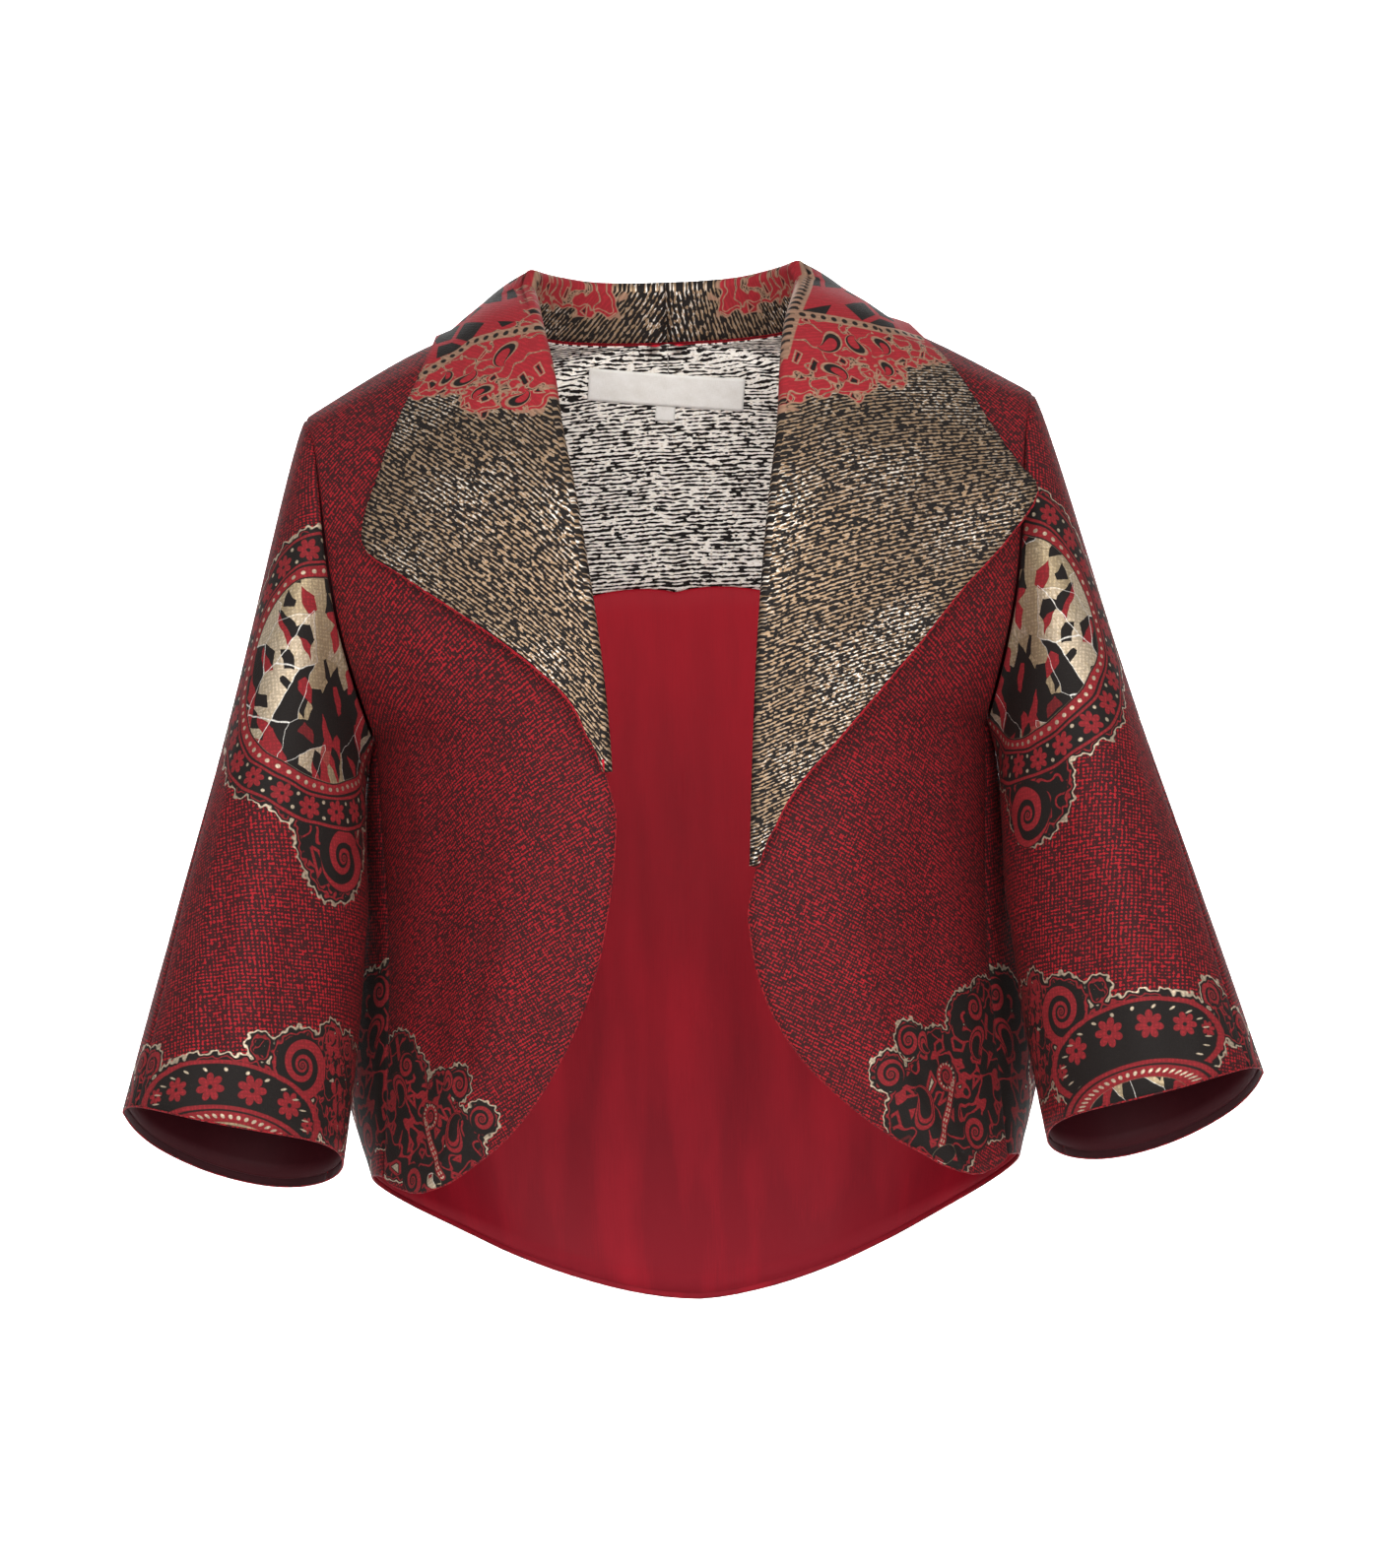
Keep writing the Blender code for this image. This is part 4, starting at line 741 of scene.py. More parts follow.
def front_row_places(side):
    """Rows of a front, with rows at its lapel's tip and break, and the break's row number."""
    _, _, lapel_edge, tip_place = SIDES[side]
    break_place = lapel_edge[-1][0]
    upper_rows = round(FRONT_ROWS_COUNT * tip_place)
    middle_rows = round(FRONT_ROWS_COUNT * (break_place - tip_place))
    lower_rows = FRONT_ROWS_COUNT - upper_rows - middle_rows
    places = np.concatenate([
        np.linspace(0.0, tip_place, upper_rows + 1),
        np.linspace(tip_place, break_place, middle_rows + 1)[1:],
        np.linspace(break_place, 1.0, lower_rows + 1)[1:],
    ])
    return places, upper_rows + middle_rows


def back_row_places():
    """Rows of the back, with rows at the neck seam's centre, the facing's edge and the hem turn."""
    return np.concatenate([
        np.linspace(0.0, BACK_NECK_SHARE, STAND_ROWS + 1),
        np.linspace(BACK_NECK_SHARE, BACK_FACING_SHARE, BACK_YOKE_ROWS + 1)[1:],
        np.linspace(BACK_FACING_SHARE, 1.0 - BACK_HEM_TURN_SHARE, BACK_LOWER_ROWS)[1:],
        [1.0],
    ])


def split(places, finer):
    """Places with each step cut into a number of equal steps."""
    places = np.asarray(places, float)
    steps = np.arange(finer) / finer
    cut = places[:-1, None] + np.diff(places)[:, None] * steps
    return np.append(cut.ravel(), places[-1])


def sleeve_rows(finer):
    """Places down the sleeve head and down the lower sleeve."""
    cap = np.linspace(0.0, 1.0, SLEEVE_CAP_ROWS * finer + 1)
    return cap, np.linspace(0.0, 1.0, SLEEVE_LOWER_ROWS * finer + 1)[1:]


def sleeve_surface(cap_places, lower_places, turns):
    """Outer face of a sleeve with its folds, for rows down its head and down its lower part."""
    lower_places = np.asarray(lower_places, float)
    points = sleeve_ring(lower_places, turns)
    if len(cap_places):
        points = np.concatenate([sleeve_cap(cap_places, turns), points])
    cap_places = np.asarray(cap_places, float)
    down = np.concatenate([SLEEVE_CAP_SHARE * cap_places,
                           SLEEVE_CAP_SHARE + (1.0 - SLEEVE_CAP_SHARE) * lower_places])
    heights = fold_heights(SLEEVE_FOLDS, down, turns)
    away = unit(points - sleeve_middle(down)[:, None, :])
    return points + away * heights[..., None]


def front_grid(side, finer):
    """Lapel, roll, stand and front of one side as one grid, missing points as nan."""
    _, edge_column, lapel_edge, _ = SIDES[side]
    back_places = split(np.linspace(-1.0, 0.0, STAND_ROWS + 1), finer)
    coarse_places, coarse_break = front_row_places(side)
    front_places = split(coarse_places, finer)
    break_row = coarse_break * finer
    first = STAND_COLUMNS * finer + 1

    edge = front_edge(front_places, edge_column)
    outer = outer_edge(table(FRONT_ROWS, front_places)[:, 0], True)
    lengths = np.linalg.norm(outer - edge, axis=1) * ROW_LENGTH_SHARE
    insets = np.where(np.arange(len(coarse_places)) <= coarse_break, ROLL_BUILD, 0.0)
    insets = np.interp(front_places, coarse_places, insets) / lengths
    necks = np.interp(front_places, [0.0, NECK_FADE_PLACE, 1.0], [NECK_PLACE, *STAND_COLUMN_PLACES])
    columns = np.array([
        np.append(np.linspace(inset, neck, first),
                  np.linspace(neck, 1.0, FRONT_COLUMNS * finer + 1)[1:])
        for inset, neck in zip(insets, necks)])
    body = front_points(front_places, columns, edge_column)

    heights = np.linalg.norm(along(BACK_ROLL, back_places + 1.0)
                             - along(NECK_SEAM[::-1], back_places + 1.0), axis=1)
    stand_columns = np.array([np.linspace(ROLL_BUILD / height, 1.0, first) for height in heights])
    stand = stand_points(back_places, stand_columns)
    stand[-1] = body[0, :first]

    roll = np.concatenate([stand[:-1, 0], body[:break_row + 1, 0]])
    beside = np.concatenate([stand[:-1, 1], body[:break_row + 1, 1]])
    up = unit(roll - beside)
    out = unit(np.cross(up, np.gradient(roll, axis=0)))
    places = np.concatenate([back_places[:-1], front_places[:break_row + 1]])

    tree = body_tree(edge_column)
    angles = np.linspace(0.0, math.pi, TURN_COLUMNS * finer + 1)[1:]
    turn = np.stack([roll + ROLL_RADIUS * (out * (1 - math.cos(a)) + up * math.sin(a))
                     for a in angles], axis=1)
    edge_points = table(lapel_edge, places)
    shares = np.linspace(0.0, 1.0, LAPEL_COLUMNS * finer + 1)[1:]
    swell = COLLAR_SWELL * np.exp(-(places / COLLAR_SWELL_SPREAD) ** 2)[:, None] * out
    swell[:, 2] = np.abs(swell[:, 2]) + np.linalg.norm(swell, axis=1)
    lapel = np.stack([turn[:, -1] * (1 - w) + edge_points * w + 4 * w * (1 - w) * swell
                      for w in shares], axis=1)
    clearance = np.interp(places, *np.array(LAPEL_CLEARANCE).T)
    shift = laid_on(lapel, tree, clearance) - lapel
    eased = shift.copy()
    eased[1:-1] = 0.5 * shift[1:-1] + 0.25 * (shift[:-2] + shift[2:])
    lapel = laid_on(lapel + eased, tree, clearance)
    narrowing = np.interp(np.linalg.norm(roll - roll[-1], axis=1), [0.0, LAPEL_TAPER],
                          [LAPEL_POINT_SHARE, 1.0])
    lapel = turn[:, -1:] + (lapel - turn[:, -1:]) * narrowing[:, None, None]
    folded = np.concatenate([lapel[:, ::-1], turn[:, ::-1]], axis=1)

    stand_count = len(back_places) - 1
    fold_columns = folded.shape[1]
    grid = np.full((stand_count + len(front_places), fold_columns + body.shape[1], 3), np.nan)
    grid[:len(places), :fold_columns] = folded
    grid[:stand_count, fold_columns:fold_columns + first] = stand[:-1]
    grid[stand_count:, fold_columns:] = body
    return grid, len(places), fold_columns + first


def back_grid(finer):
    """The whole back, its columns from the wearer's right to left, its neck left open."""
    places = split(back_row_places(), finer)
    half = back_points(places, np.linspace(0.0, 1.0, BACK_COLUMNS * finer + 1))
    neck = STAND_ROWS * finer
    half[neck:, 0, 0] += MIDDLE_STRIP
    other = half[:, ::-1] * np.array([-1.0, 1.0, 1.0])
    shares = np.linspace(0.0, 1.0, 2 * finer + 1)[1:-1, None]
    middle = other[:, -1:] * (1.0 - shares) + half[:, :1] * shares
    middle[:neck] = np.nan
    points = np.concatenate([other, middle, half], axis=1)
    shares = np.linspace(0.0, 1.0, BACK_COLUMNS * finer + 1)
    across = np.concatenate([-shares[::-1], np.zeros(2 * finer - 1), shares])
    away = unit(points * np.array([1.0, 1.0, 0.0]))
    fade = np.clip((1.0 - np.abs(across)) / CREASE_FADE, 0.0, 1.0)
    return points + away * (fold_heights(BACK_CREASES, places, across) * fade)[..., None]


def sleeve_grid(front, finer):
    """Front or back half of a sleeve."""
    start = 0.0 if front else 0.5
    turns = np.linspace(start, start + 0.5, SLEEVE_HALF_COLUMNS * finer + 1)
    return sleeve_surface(*sleeve_rows(finer), turns)


def numbered(grid):
    """Number of each point of a grid, and -1 where it is missing."""
    there = ~np.isnan(grid[..., 0])
    number = np.full(grid.shape[:2], -1)
    number[there] = np.arange(there.sum())
    return number, there


def cells(number, sign):
    """Corners of each whole cell of a numbered grid; sign turns its face round."""
    corners = np.stack([number[:-1, :-1], number[:-1, 1:], number[1:, 1:], number[1:, :-1]],
                       axis=-1).reshape(-1, 4)
    corners = corners[(corners >= 0).all(axis=1)]
    return corners if sign > 0 else corners[:, ::-1]


def grid_normals(grid, sign):
    """Outward direction at each point of a grid."""
    diagonal = grid[1:, 1:] - grid[:-1, :-1]
    other = grid[1:, :-1] - grid[:-1, 1:]
    face = np.nan_to_num(np.cross(diagonal, other)) * sign
    normals = np.zeros_like(grid)
    for rows in (slice(None, -1), slice(1, None)):
        for columns in (slice(None, -1), slice(1, None)):
            normals[rows, columns] += face
    return unit(normals)


def flattened(grid, sign, view):
    """Flat pattern of a grid in millimetres, as it hangs seen from the front (-1) or behind (1)."""
    number, there = numbered(grid)
    points = grid[there]
    quads = cells(number, sign)
    triangles = np.concatenate([quads[:, [0, 1, 2]], quads[:, [0, 2, 3]]])
    a, b, c = points[triangles].transpose(1, 0, 2)
    ahead = np.linalg.norm(b - a, axis=1)
    along_edge = unit(b - a)
    across_edge = np.cross(unit(np.cross(b - a, c - a)), along_edge)
    corner = ((c - a) * along_edge).sum(1) + 1j * ((c - a) * across_edge).sum(1)
    doubled = ahead * corner.imag
    weights = np.stack([corner - ahead, -corner, ahead + 0j], axis=1) / np.sqrt(doubled)[:, None]
    matrix = np.zeros((len(triangles), len(points)), complex)
    np.add.at(matrix, (np.arange(len(triangles))[:, None], triangles), weights)
    first = np.argmax(np.linalg.norm(points - points.mean(0), axis=1))
    reach = np.linalg.norm(points - points[first], axis=1)
    pins = np.array([first, np.argmax(reach)])
    free = np.setdiff1d(np.arange(len(points)), pins)
    held = matrix[:, pins] @ np.array([0.0, reach.max()])
    loose = matrix[:, free]
    flat = np.zeros(len(points), complex)
    flat[pins[1]] = reach.max()
    flat[free] = np.linalg.solve(loose.conj().T @ loose, -loose.conj().T @ held)
    fa, fb, fc = flat[triangles].T
    flat *= math.sqrt(doubled.sum() / ((fb - fa).conj() * (fc - fa)).imag.sum())
    seen = np.maximum(grid_normals(grid, sign)[there] @ np.array([0.0, view, 0.0]), 0.0)
    place = -view * points[:, 0] + 1j * points[:, 2]
    flat_middle = (flat * seen).sum() / seen.sum()
    middle = (place * seen).sum() / seen.sum()
    turn = (seen * (flat - flat_middle).conj() * (place - middle)).sum()
    flat = (flat - flat_middle) * turn / abs(turn) + middle
    result = np.full((*grid.shape[:2], 2), np.nan)
    result[there] = 1000.0 * np.stack([flat.real, flat.imag], axis=1)
    return result


def refined(values, finer):
    """Values on a grid with each step down it cut into finer ones, on a smooth curve."""
    step = np.diff(values, axis=0)
    ahead = np.concatenate([step, step[-1:]])
    behind = np.concatenate([step[:1], step])
    tangent = 0.5 * (ahead + behind)
    tangent = np.where(np.isnan(tangent), ahead, tangent)
    tangent = np.where(np.isnan(tangent), behind, tangent)
    t = (np.arange(finer) / finer)[None, :, None, None]
    start, end = values[:-1, None], values[1:, None]
    leave, meet = tangent[:-1, None], tangent[1:, None]
    fine = ((1 + 2 * t) * (1 - t) ** 2 * start + t * (1 - t) ** 2 * leave
            + t * t * (3 - 2 * t) * end - t * t * (1 - t) * meet)
    fine[:, 0] = values[:-1]
    return np.concatenate([fine.reshape(-1, *values.shape[1:]), values[-1:]])


def with_flat(fine, coarse, sign, view):
    """A fine grid's points and flat pattern side by side."""
    flat = refined(flattened(coarse, sign, view), FINER)
    flat = refined(flat.transpose(1, 0, 2), FINER).transpose(1, 0, 2)
    return np.concatenate([fine, flat], axis=-1)


def turned_about(cloth, side):
    """The grid with one of its sides brought to the top."""
    return {"top": cloth, "bottom": cloth[::-1], "left": cloth.transpose(1, 0, 2),
            "right": cloth.transpose(1, 0, 2)[::-1]}[side]


def turned_back(cloth, side):
    """Undoes turned_about."""
    return {"top": cloth, "bottom": cloth[::-1], "left": cloth.transpose(1, 0, 2),
            "right": cloth[::-1].transpose(1, 0, 2)}[side]


def cut_back(edge, beside, distance):
    """An edge's points moved a distance towards the points beside them."""
    step = np.linalg.norm(beside[:, :3] - edge[:, :3], axis=-1)[:, None]
    return edge + (beside - edge) * np.minimum(distance / step, MOST_OF_A_CELL)


def seamed(cloth, sign, *sides):
    """The cloth with rows added beside its seams, where it sinks into the seam."""
    for side in sides:
        rows = turned_about(cloth, side)
        added = [cut_back(rows[0], rows[1], distance) for distance, _ in SEAM_SINK[1:]]
        cloth = turned_back(np.concatenate([rows[:1], added, rows[1:]]), side)
    normals = grid_normals(cloth[..., :3], sign)
    for side in sides:
        rows, up = turned_about(cloth, side), turned_about(normals, side)
        for k, (_, sink) in enumerate(SEAM_SINK):
            rows[k, :, :3] -= up[k] * sink
    return cloth


def lowered(cloth, sign, depth):
    """The cloth moved inwards, as for a lining."""
    result = cloth.copy()
    result[..., :3] -= grid_normals(cloth[..., :3], sign) * depth
    return result


def patch_on(cloth, sign, centre_x, centre_z, width, height, columns, rows):
    """A tilted rectangle of points on the inside of a sheet behind the neck, with flat places."""
    number, there = numbered(cloth)
    points = [Vector(point) for point in cloth[there][:, :3]]
    tree = BVHTree.FromPolygons(points, [tuple(quad) for quad in cells(number, sign).tolist()])
    grid = np.zeros((rows + 1, columns + 1, 5))
    for i in range(rows + 1):
        for j in range(columns + 1):
            right = width * (j / columns - 0.5)
            up = height * (0.5 - i / rows)
            x = centre_x + right * math.cos(LABEL_TILT) - up * math.sin(LABEL_TILT)
            z = centre_z + right * math.sin(LABEL_TILT) + up * math.cos(LABEL_TILT)
            spot = tree.ray_cast(Vector((x, 0.0, z)), Vector((0.0, 1.0, 0.0)))[0]
            grid[i, j] = (*spot, 1000.0 * right, 1000.0 * up)
    return grid


def make_cloth(name, cloth, sign, wall, outer, inner, mirror):
    """An object from a grid of points and flat places, thickened inwards from its face."""
    number, there = numbered(cloth)
    quads = cells(number, sign * mirror)
    values = cloth[there]
    mesh = bpy.data.meshes.new(name)
    points = values[:, :3] * np.array([mirror, 1.0, 1.0])
    mesh.from_pydata([tuple(point) for point in points], [], quads.tolist())
    layer = mesh.uv_layers.new(name="flat")
    layer.data.foreach_set("uv", values[quads.ravel(), 3:].astype(np.float32).ravel())
    mesh.materials.append(outer)
    mesh.materials.append(inner)
    mesh.update()
    mesh.shade_smooth()
    piece = bpy.data.objects.new(name, mesh)
    bpy.context.scene.collection.objects.link(piece)
    solidify = piece.modifiers.new("wall", "SOLIDIFY")
    solidify.thickness = wall
    solidify.offset = -1.0
    solidify.use_rim = True
    solidify.material_offset = 1
    solidify.material_offset_rim = 0
    return piece


def make_edge(name, path, material, mirror):
    """A rounded, folded edge along a path."""
    path = np.asarray(path)[:, :3] * np.array([mirror, 1.0, 1.0])
    curve = bpy.data.curves.new(name, "CURVE")
    curve.dimensions = "3D"
    curve.bevel_depth = EDGE_RADIUS
    curve.bevel_resolution = 2
    curve.use_fill_caps = True
    spline = curve.splines.new("POLY")
    spline.points.add(len(path) - 1)
    spline.points.foreach_set("co", np.column_stack([path, np.ones(len(path))]).ravel())
    curve.materials.append(material)
    piece = bpy.data.objects.new(name, curve)
    bpy.context.scene.collection.objects.link(piece)
    return piece


class Field:
    """A number that varies over a surface; its arithmetic adds nodes to the material being made."""

    tree = None

    def __init__(self, socket):
        self.socket = socket

    @classmethod
    def math(cls, operation, *values, clamp=False):
        """The result of a math node on fields and numbers."""
        node = cls.tree.nodes.new("ShaderNodeMath")
        node.operation = operation
        node.use_clamp = clamp
        for socket, value in zip(node.inputs, values):
            join(value, socket)
        return cls(node.outputs[0])

    def __add__(self, other):
        return Field.math("ADD", self, other)

    def __sub__(self, other):
        return Field.math("SUBTRACT", self, other)

    def __rsub__(self, other):
        return Field.math("SUBTRACT", other, self)

    def __mul__(self, other):
        return Field.math("MULTIPLY", self, other)

    def __truediv__(self, other):
        return Field.math("DIVIDE", self, other)

    __radd__ = __add__
    __rmul__ = __mul__


def join(value, socket):
    """Feeds a socket with a field, another socket or a constant."""
    if isinstance(value, Field):
        Field.tree.links.new(value.socket, socket)
    elif isinstance(value, bpy.types.NodeSocket):
        Field.tree.links.new(value, socket)
    elif isinstance(value, tuple) and len(value) == 3 and len(socket.default_value) == 4:
        socket.default_value = (*value, 1.0)
    else:
        socket.default_value = value


def lowest(*fields):
    """Least of some fields, which joins their shapes."""
    result = fields[0]
    for field in fields[1:]:
        result = Field.math("MINIMUM", result, field)
    return result


def highest(*fields):
    """Greatest of some fields, which is where their shapes overlap."""
    result = fields[0]
    for field in fields[1:]:
        result = Field.math("MAXIMUM", result, field)
    return result


def size(field):
    """A field without its sign."""
    return Field.math("ABSOLUTE", field)


def fraction(field):
    """What a field has beyond its last whole number."""
    return Field.math("FRACT", field)


def length(a, b):
    """Distance from the middle, for two fields at right angles."""
    return Field.math("SQRT", a * a + b * b)


def inside(distance, softness=0.25):
    """1 where a distance is below 0 and 0 where it is above, softened over the edge."""
    return Field.math("MULTIPLY_ADD", distance, -0.5 / softness, 0.5, clamp=True)


def band(distance, start, end, softness=0.25):
    """1 where a distance lies between two values."""
    middle, half = 0.5 * (start + end), 0.5 * (end - start)
    return inside(size(distance - middle) - half, softness)


def flat_place():
    """Place on the flat pattern of a piece, in millimetres."""
    place = Field.tree.nodes.new("ShaderNodeUVMap")
    place.uv_map = "flat"
    parts = Field.tree.nodes.new("ShaderNodeSeparateXYZ")
    Field.tree.links.new(place.outputs[0], parts.inputs[0])
    return Field(parts.outputs[0]), Field(parts.outputs[1])


def turned(u, v, degrees):
    """Coordinates along and across a direction."""
    c, s = math.cos(math.radians(degrees)), math.sin(math.radians(degrees))
    return u * c + v * s, v * c - u * s


def moved(u, v, x, y, degrees, new_x, new_y):
    """The flat place turned about x, y and carried to a new place."""
    a, b = turned(u - x, v - y, degrees)
    return a + new_x, b + new_y


def vector(u, v):
    """Two fields as the first two parts of a vector."""
    node = Field.tree.nodes.new("ShaderNodeCombineXYZ")
    for socket, value in zip(node.inputs, (u, v)):
        join(value, socket)
    return node.outputs[0]


def noise(u, v, detail=1.0):
    """Smooth noise whose blotches are about one unit wide."""
    node = Field.tree.nodes.new("ShaderNodeTexNoise")
    node.noise_dimensions = "2D"
    join(vector(u, v), node.inputs["Vector"])
    node.inputs["Scale"].default_value = 1.0
    node.inputs["Detail"].default_value = detail
    return Field(node.outputs[0])


def above(field, level, softness):
    """1 where a field is above a level."""
    steepness = 0.5 / softness
    return Field.math("MULTIPLY_ADD", field, steepness, 0.5 - level * steepness, clamp=True)


def mixed(a, b, share):
    """Colour from a to b by a share."""
    node = Field.tree.nodes.new("ShaderNodeMix")
    node.data_type = "RGBA"
    join(share, node.inputs[0])
    join(a, node.inputs[6])
    join(b, node.inputs[7])
    return node.outputs[2]


class Weave:
    """Colours laid one over another on a piece, with the share of metal thread."""

    def __init__(self, colour, metal=0.0):
        self.colour = colour
        self.metal = metal

    def lay(self, colour, share, metal=0.0):
        """Covers a share of the cloth with a colour and its share of metal thread."""
        self.colour = mixed(self.colour, colour, share)
        if isinstance(self.metal, Field) or metal != self.metal:
            self.metal = share * (metal - self.metal) + self.metal

    def red(self, distance):
        """Covers a shape in red."""
        self.lay(PAISLEY_RED, inside(distance))

    def black(self, distance):
        """Covers a shape in black."""
        self.lay(BLACK, inside(distance))


def new_material(name):
    """A material and its shader; fields are added to it until the next one is made."""
    material = bpy.data.materials.new(name)
    material.use_nodes = True
    Field.tree = material.node_tree
    return material, material.node_tree.nodes["Principled BSDF"]


def lines(along_u, across_v, period, dash, finer=1.3):
    """Fine lines side by side, broken into dashes; about half of it is above 0.5."""
    drift = noise(along_u * 0.02, across_v * 0.12, 0.0) * 0.8
    line = size(fraction(across_v / period + drift) - 0.5)
    return line * 0.7 + noise(along_u / dash, across_v * (finer / period), 1.0) * 0.7


def melange(u, v, streak, cross, weight):
    """Red cloth crossed by darker broken threads, and where those are."""
    warp = lines(*turned(u, v, streak), 2.2, 3.6, 1.5)
    weft = lines(*turned(u, v, cross), 2.0, 2.6, 1.5)
    cloud = noise(u * 0.04, v * 0.04, 1.0)
    mix = warp * weight + weft * (1.0 - weight) + cloud * 0.06
    dark = above(mix, 0.495, 0.03)
    return mixed(RED, MAROON, dark), dark


def finished(shader, weave, roughness, gloss_roughness, thread, relief, sheen=0.0, tint=None):
    """Joins colours, roughness, metal threads and the relief of the threads to a shader."""
    join(weave.colour, shader.inputs["Base Color"])
    if isinstance(weave.metal, Field):
        join(weave.metal, shader.inputs["Metallic"])
        join(weave.metal * (gloss_roughness - roughness) + roughness, shader.inputs["Roughness"])
    else:
        shader.inputs["Metallic"].default_value = weave.metal
        shader.inputs["Roughness"].default_value = roughness
    shader.inputs["Specular IOR Level"].default_value = CLOTH_SPECULAR
    shader.inputs["Sheen Weight"].default_value = sheen
    if tint:
        shader.inputs["Sheen Tint"].default_value = (*tint, 1.0)
        shader.inputs["Sheen Roughness"].default_value = 0.4
    bump = Field.tree.nodes.new("ShaderNodeBump")
    bump.inputs["Strength"].default_value = 1.0
    bump.inputs["Distance"].default_value = RELIEF_HEIGHT
    join(thread * relief, bump.inputs["Height"])
    Field.tree.links.new(bump.outputs[0], shader.inputs["Normal"])


def threads(u, v):
    """Fine relief of the weave."""
    return noise(u * 0.35, v * 2.2, 1.0) * 0.6 + noise(u * 2.4, v * 0.4, 1.0) * 0.4


def polar(u, v):
    """Distance and angle about the origin."""
    return length(u, v), Field.math("ARCTAN2", v, u)


def disc(u, v, x, y, radius):
    """Distance from a disc's edge."""
    return length(u - x, v - y) - radius


def oval(u, v, x, y, half_width, half_height, turn=0.0):
    """Distance from an ellipse's edge, exact enough near it."""
    a, b = turned(u - x, v - y, turn)
    return (length(a / half_width, b / half_height) - 1.0) * min(half_width, half_height)


def discs(u, v, places):
    """Distance from the joined shape of some discs."""
    return lowest(*(disc(u, v, *place) for place in places))


def segment(u, v, x0, y0, x1, y1):
    """Distance from a straight stretch, and the way along it."""
    reach = math.hypot(x1 - x0, y1 - y0)
    ahead, across = turned(u - x0, v - y0, math.degrees(math.atan2(y1 - y0, x1 - x0)))
    held = Field.math("MINIMUM", Field.math("MAXIMUM", ahead, 0.0), reach)
    return length(ahead - held, across), ahead, across


def blossom(a, b, radius, turn=0.0):
    """Distances from a flower's outline and from its middle."""
    rho, theta = polar(a, b)
    petal = size(Field.math("COSINE", theta * (0.5 * PETALS) + turn))
    petal = Field.math("POWER", petal, 0.6)
    return rho - petal * (0.55 * radius) - 0.45 * radius, rho - 0.17 * radius


def scroll(u, v, x, y, radius, growth, sense, turn, share):
    """Distance from a line that winds in to a point."""
    rho, theta = polar(u - x, v - y)
    winding = Field.math("LOGARITHM", rho / radius, growth)
    place = size(fraction(winding + theta * (sense / (2.0 * math.pi)) + turn) - 0.5)
    return highest((place - share) * rho * 1.3, rho - radius)


def drop(u, v, x, y, reach, turn):
    """Distance from a bent drop, the form in a paisley; its tail is at the given place."""
    a, b = turned(u - x, v - y, turn)
    rho, theta = polar(a, b)
    theta = theta + Field.math("LOGARITHM", rho / reach, math.e) * DROP_SWIRL
    lobe = Field.math("POWER", highest(Field.math("COSINE", theta), 0.0), 1.0 / DROP_FATNESS)
    return rho - lobe * reach


def ring(rho, theta, radius, count, phase=0.0):
    """Coordinates in each of a number of equal stretches of a circle."""
    place = fraction(theta * (count / (2.0 * math.pi)) + phase) - 0.5
    return place * (2.0 * math.pi * radius / count), rho - radius


def wavering(u, v, amount, scale=0.06):
    """Coordinates drawn out of true, as woven figures are."""
    return (u + (noise(u * scale, v * scale) - 0.5) * amount,
            v + (noise(u * scale + 31.7, v * scale) - 0.5) * amount)


def facets(u, v, scale, across=1.0):
    """Straight-sided facets: two random numbers for each, and the distance from its edge."""
    place = vector(u * scale, v * scale * across)
    cell = Field.tree.nodes.new("ShaderNodeTexVoronoi")
    cell.voronoi_dimensions = "2D"
    cell.inputs["Scale"].default_value = 1.0
    join(place, cell.inputs["Vector"])
    pick = Field.tree.nodes.new("ShaderNodeSeparateColor")
    Field.tree.links.new(cell.outputs["Color"], pick.inputs[0])
    edge = Field.tree.nodes.new("ShaderNodeTexVoronoi")
    edge.voronoi_dimensions = "2D"
    edge.feature = "DISTANCE_TO_EDGE"
    edge.inputs["Scale"].default_value = 1.0
    join(place, edge.inputs["Vector"])
    return Field(pick.outputs[0]), Field(pick.outputs[1]), Field(edge.outputs["Distance"])


def mosaic(weave, u, v, where):
    """Shards of gold, black and red, in no particular picture, with painted near-white glints along
    some shard edges.
    """
    a, b = wavering(u, v, 2.5, 0.12)
    a, b = turned(a, b, 35.0)
    pick, tone, edge = facets(a, b, 0.058, 0.55)
    small_pick, small_tone, small_edge = facets(a * 0.8 + b * 0.6, b * 0.8 - a * 0.6, 0.085, 2.0)
    grain = noise(a * 0.9, b * 0.18, 1.0)
    gold = mixed(SHARD_GOLD, PALE_GOLD, above(tone * 0.6 + grain * 0.7, 0.68, 0.10))
    weave.lay(gold, where, 0.6)
    weave.lay(BLACK, where * above(pick, 0.58, 0.01))
    weave.lay(PAISLEY_RED, where * above(small_pick, 0.82, 0.01))
    weave.lay(BLACK, where * above(0.26 - small_pick, 0.0, 0.01))
    # Painted highlight: near-white glint lines along the edges of some shards
    weave.lay(LAME_AND_PAINTED_GLINT, where * inside(edge - 0.010, 0.010) * above(tone, 0.62, 0.01), 0.7)
    weave.lay(BLACK, where * inside(small_edge - 0.006, 0.008) * above(small_tone, 0.6, 0.01))


def vines(weave, u, v, where, scale, buds):
    """Winding lines, buds and dots that fill the ground between the figures."""
    line = size(noise(u * scale, v * scale) - 0.5) - 0.026
    weave.lay(PAISLEY_RED, where * inside(line, 0.005))
    pick, tone, edge = facets(u, v, buds)
    weave.lay(PAISLEY_RED, where * above(edge, 0.24, 0.02) * above(pick, 0.30, 0.01))
    weave.lay(BLACK, where * above(edge, 0.36, 0.02))
    weave.lay(PALE_GOLD, where * above(edge, 0.42, 0.02) * above(tone, 0.70, 0.01), 0.6)


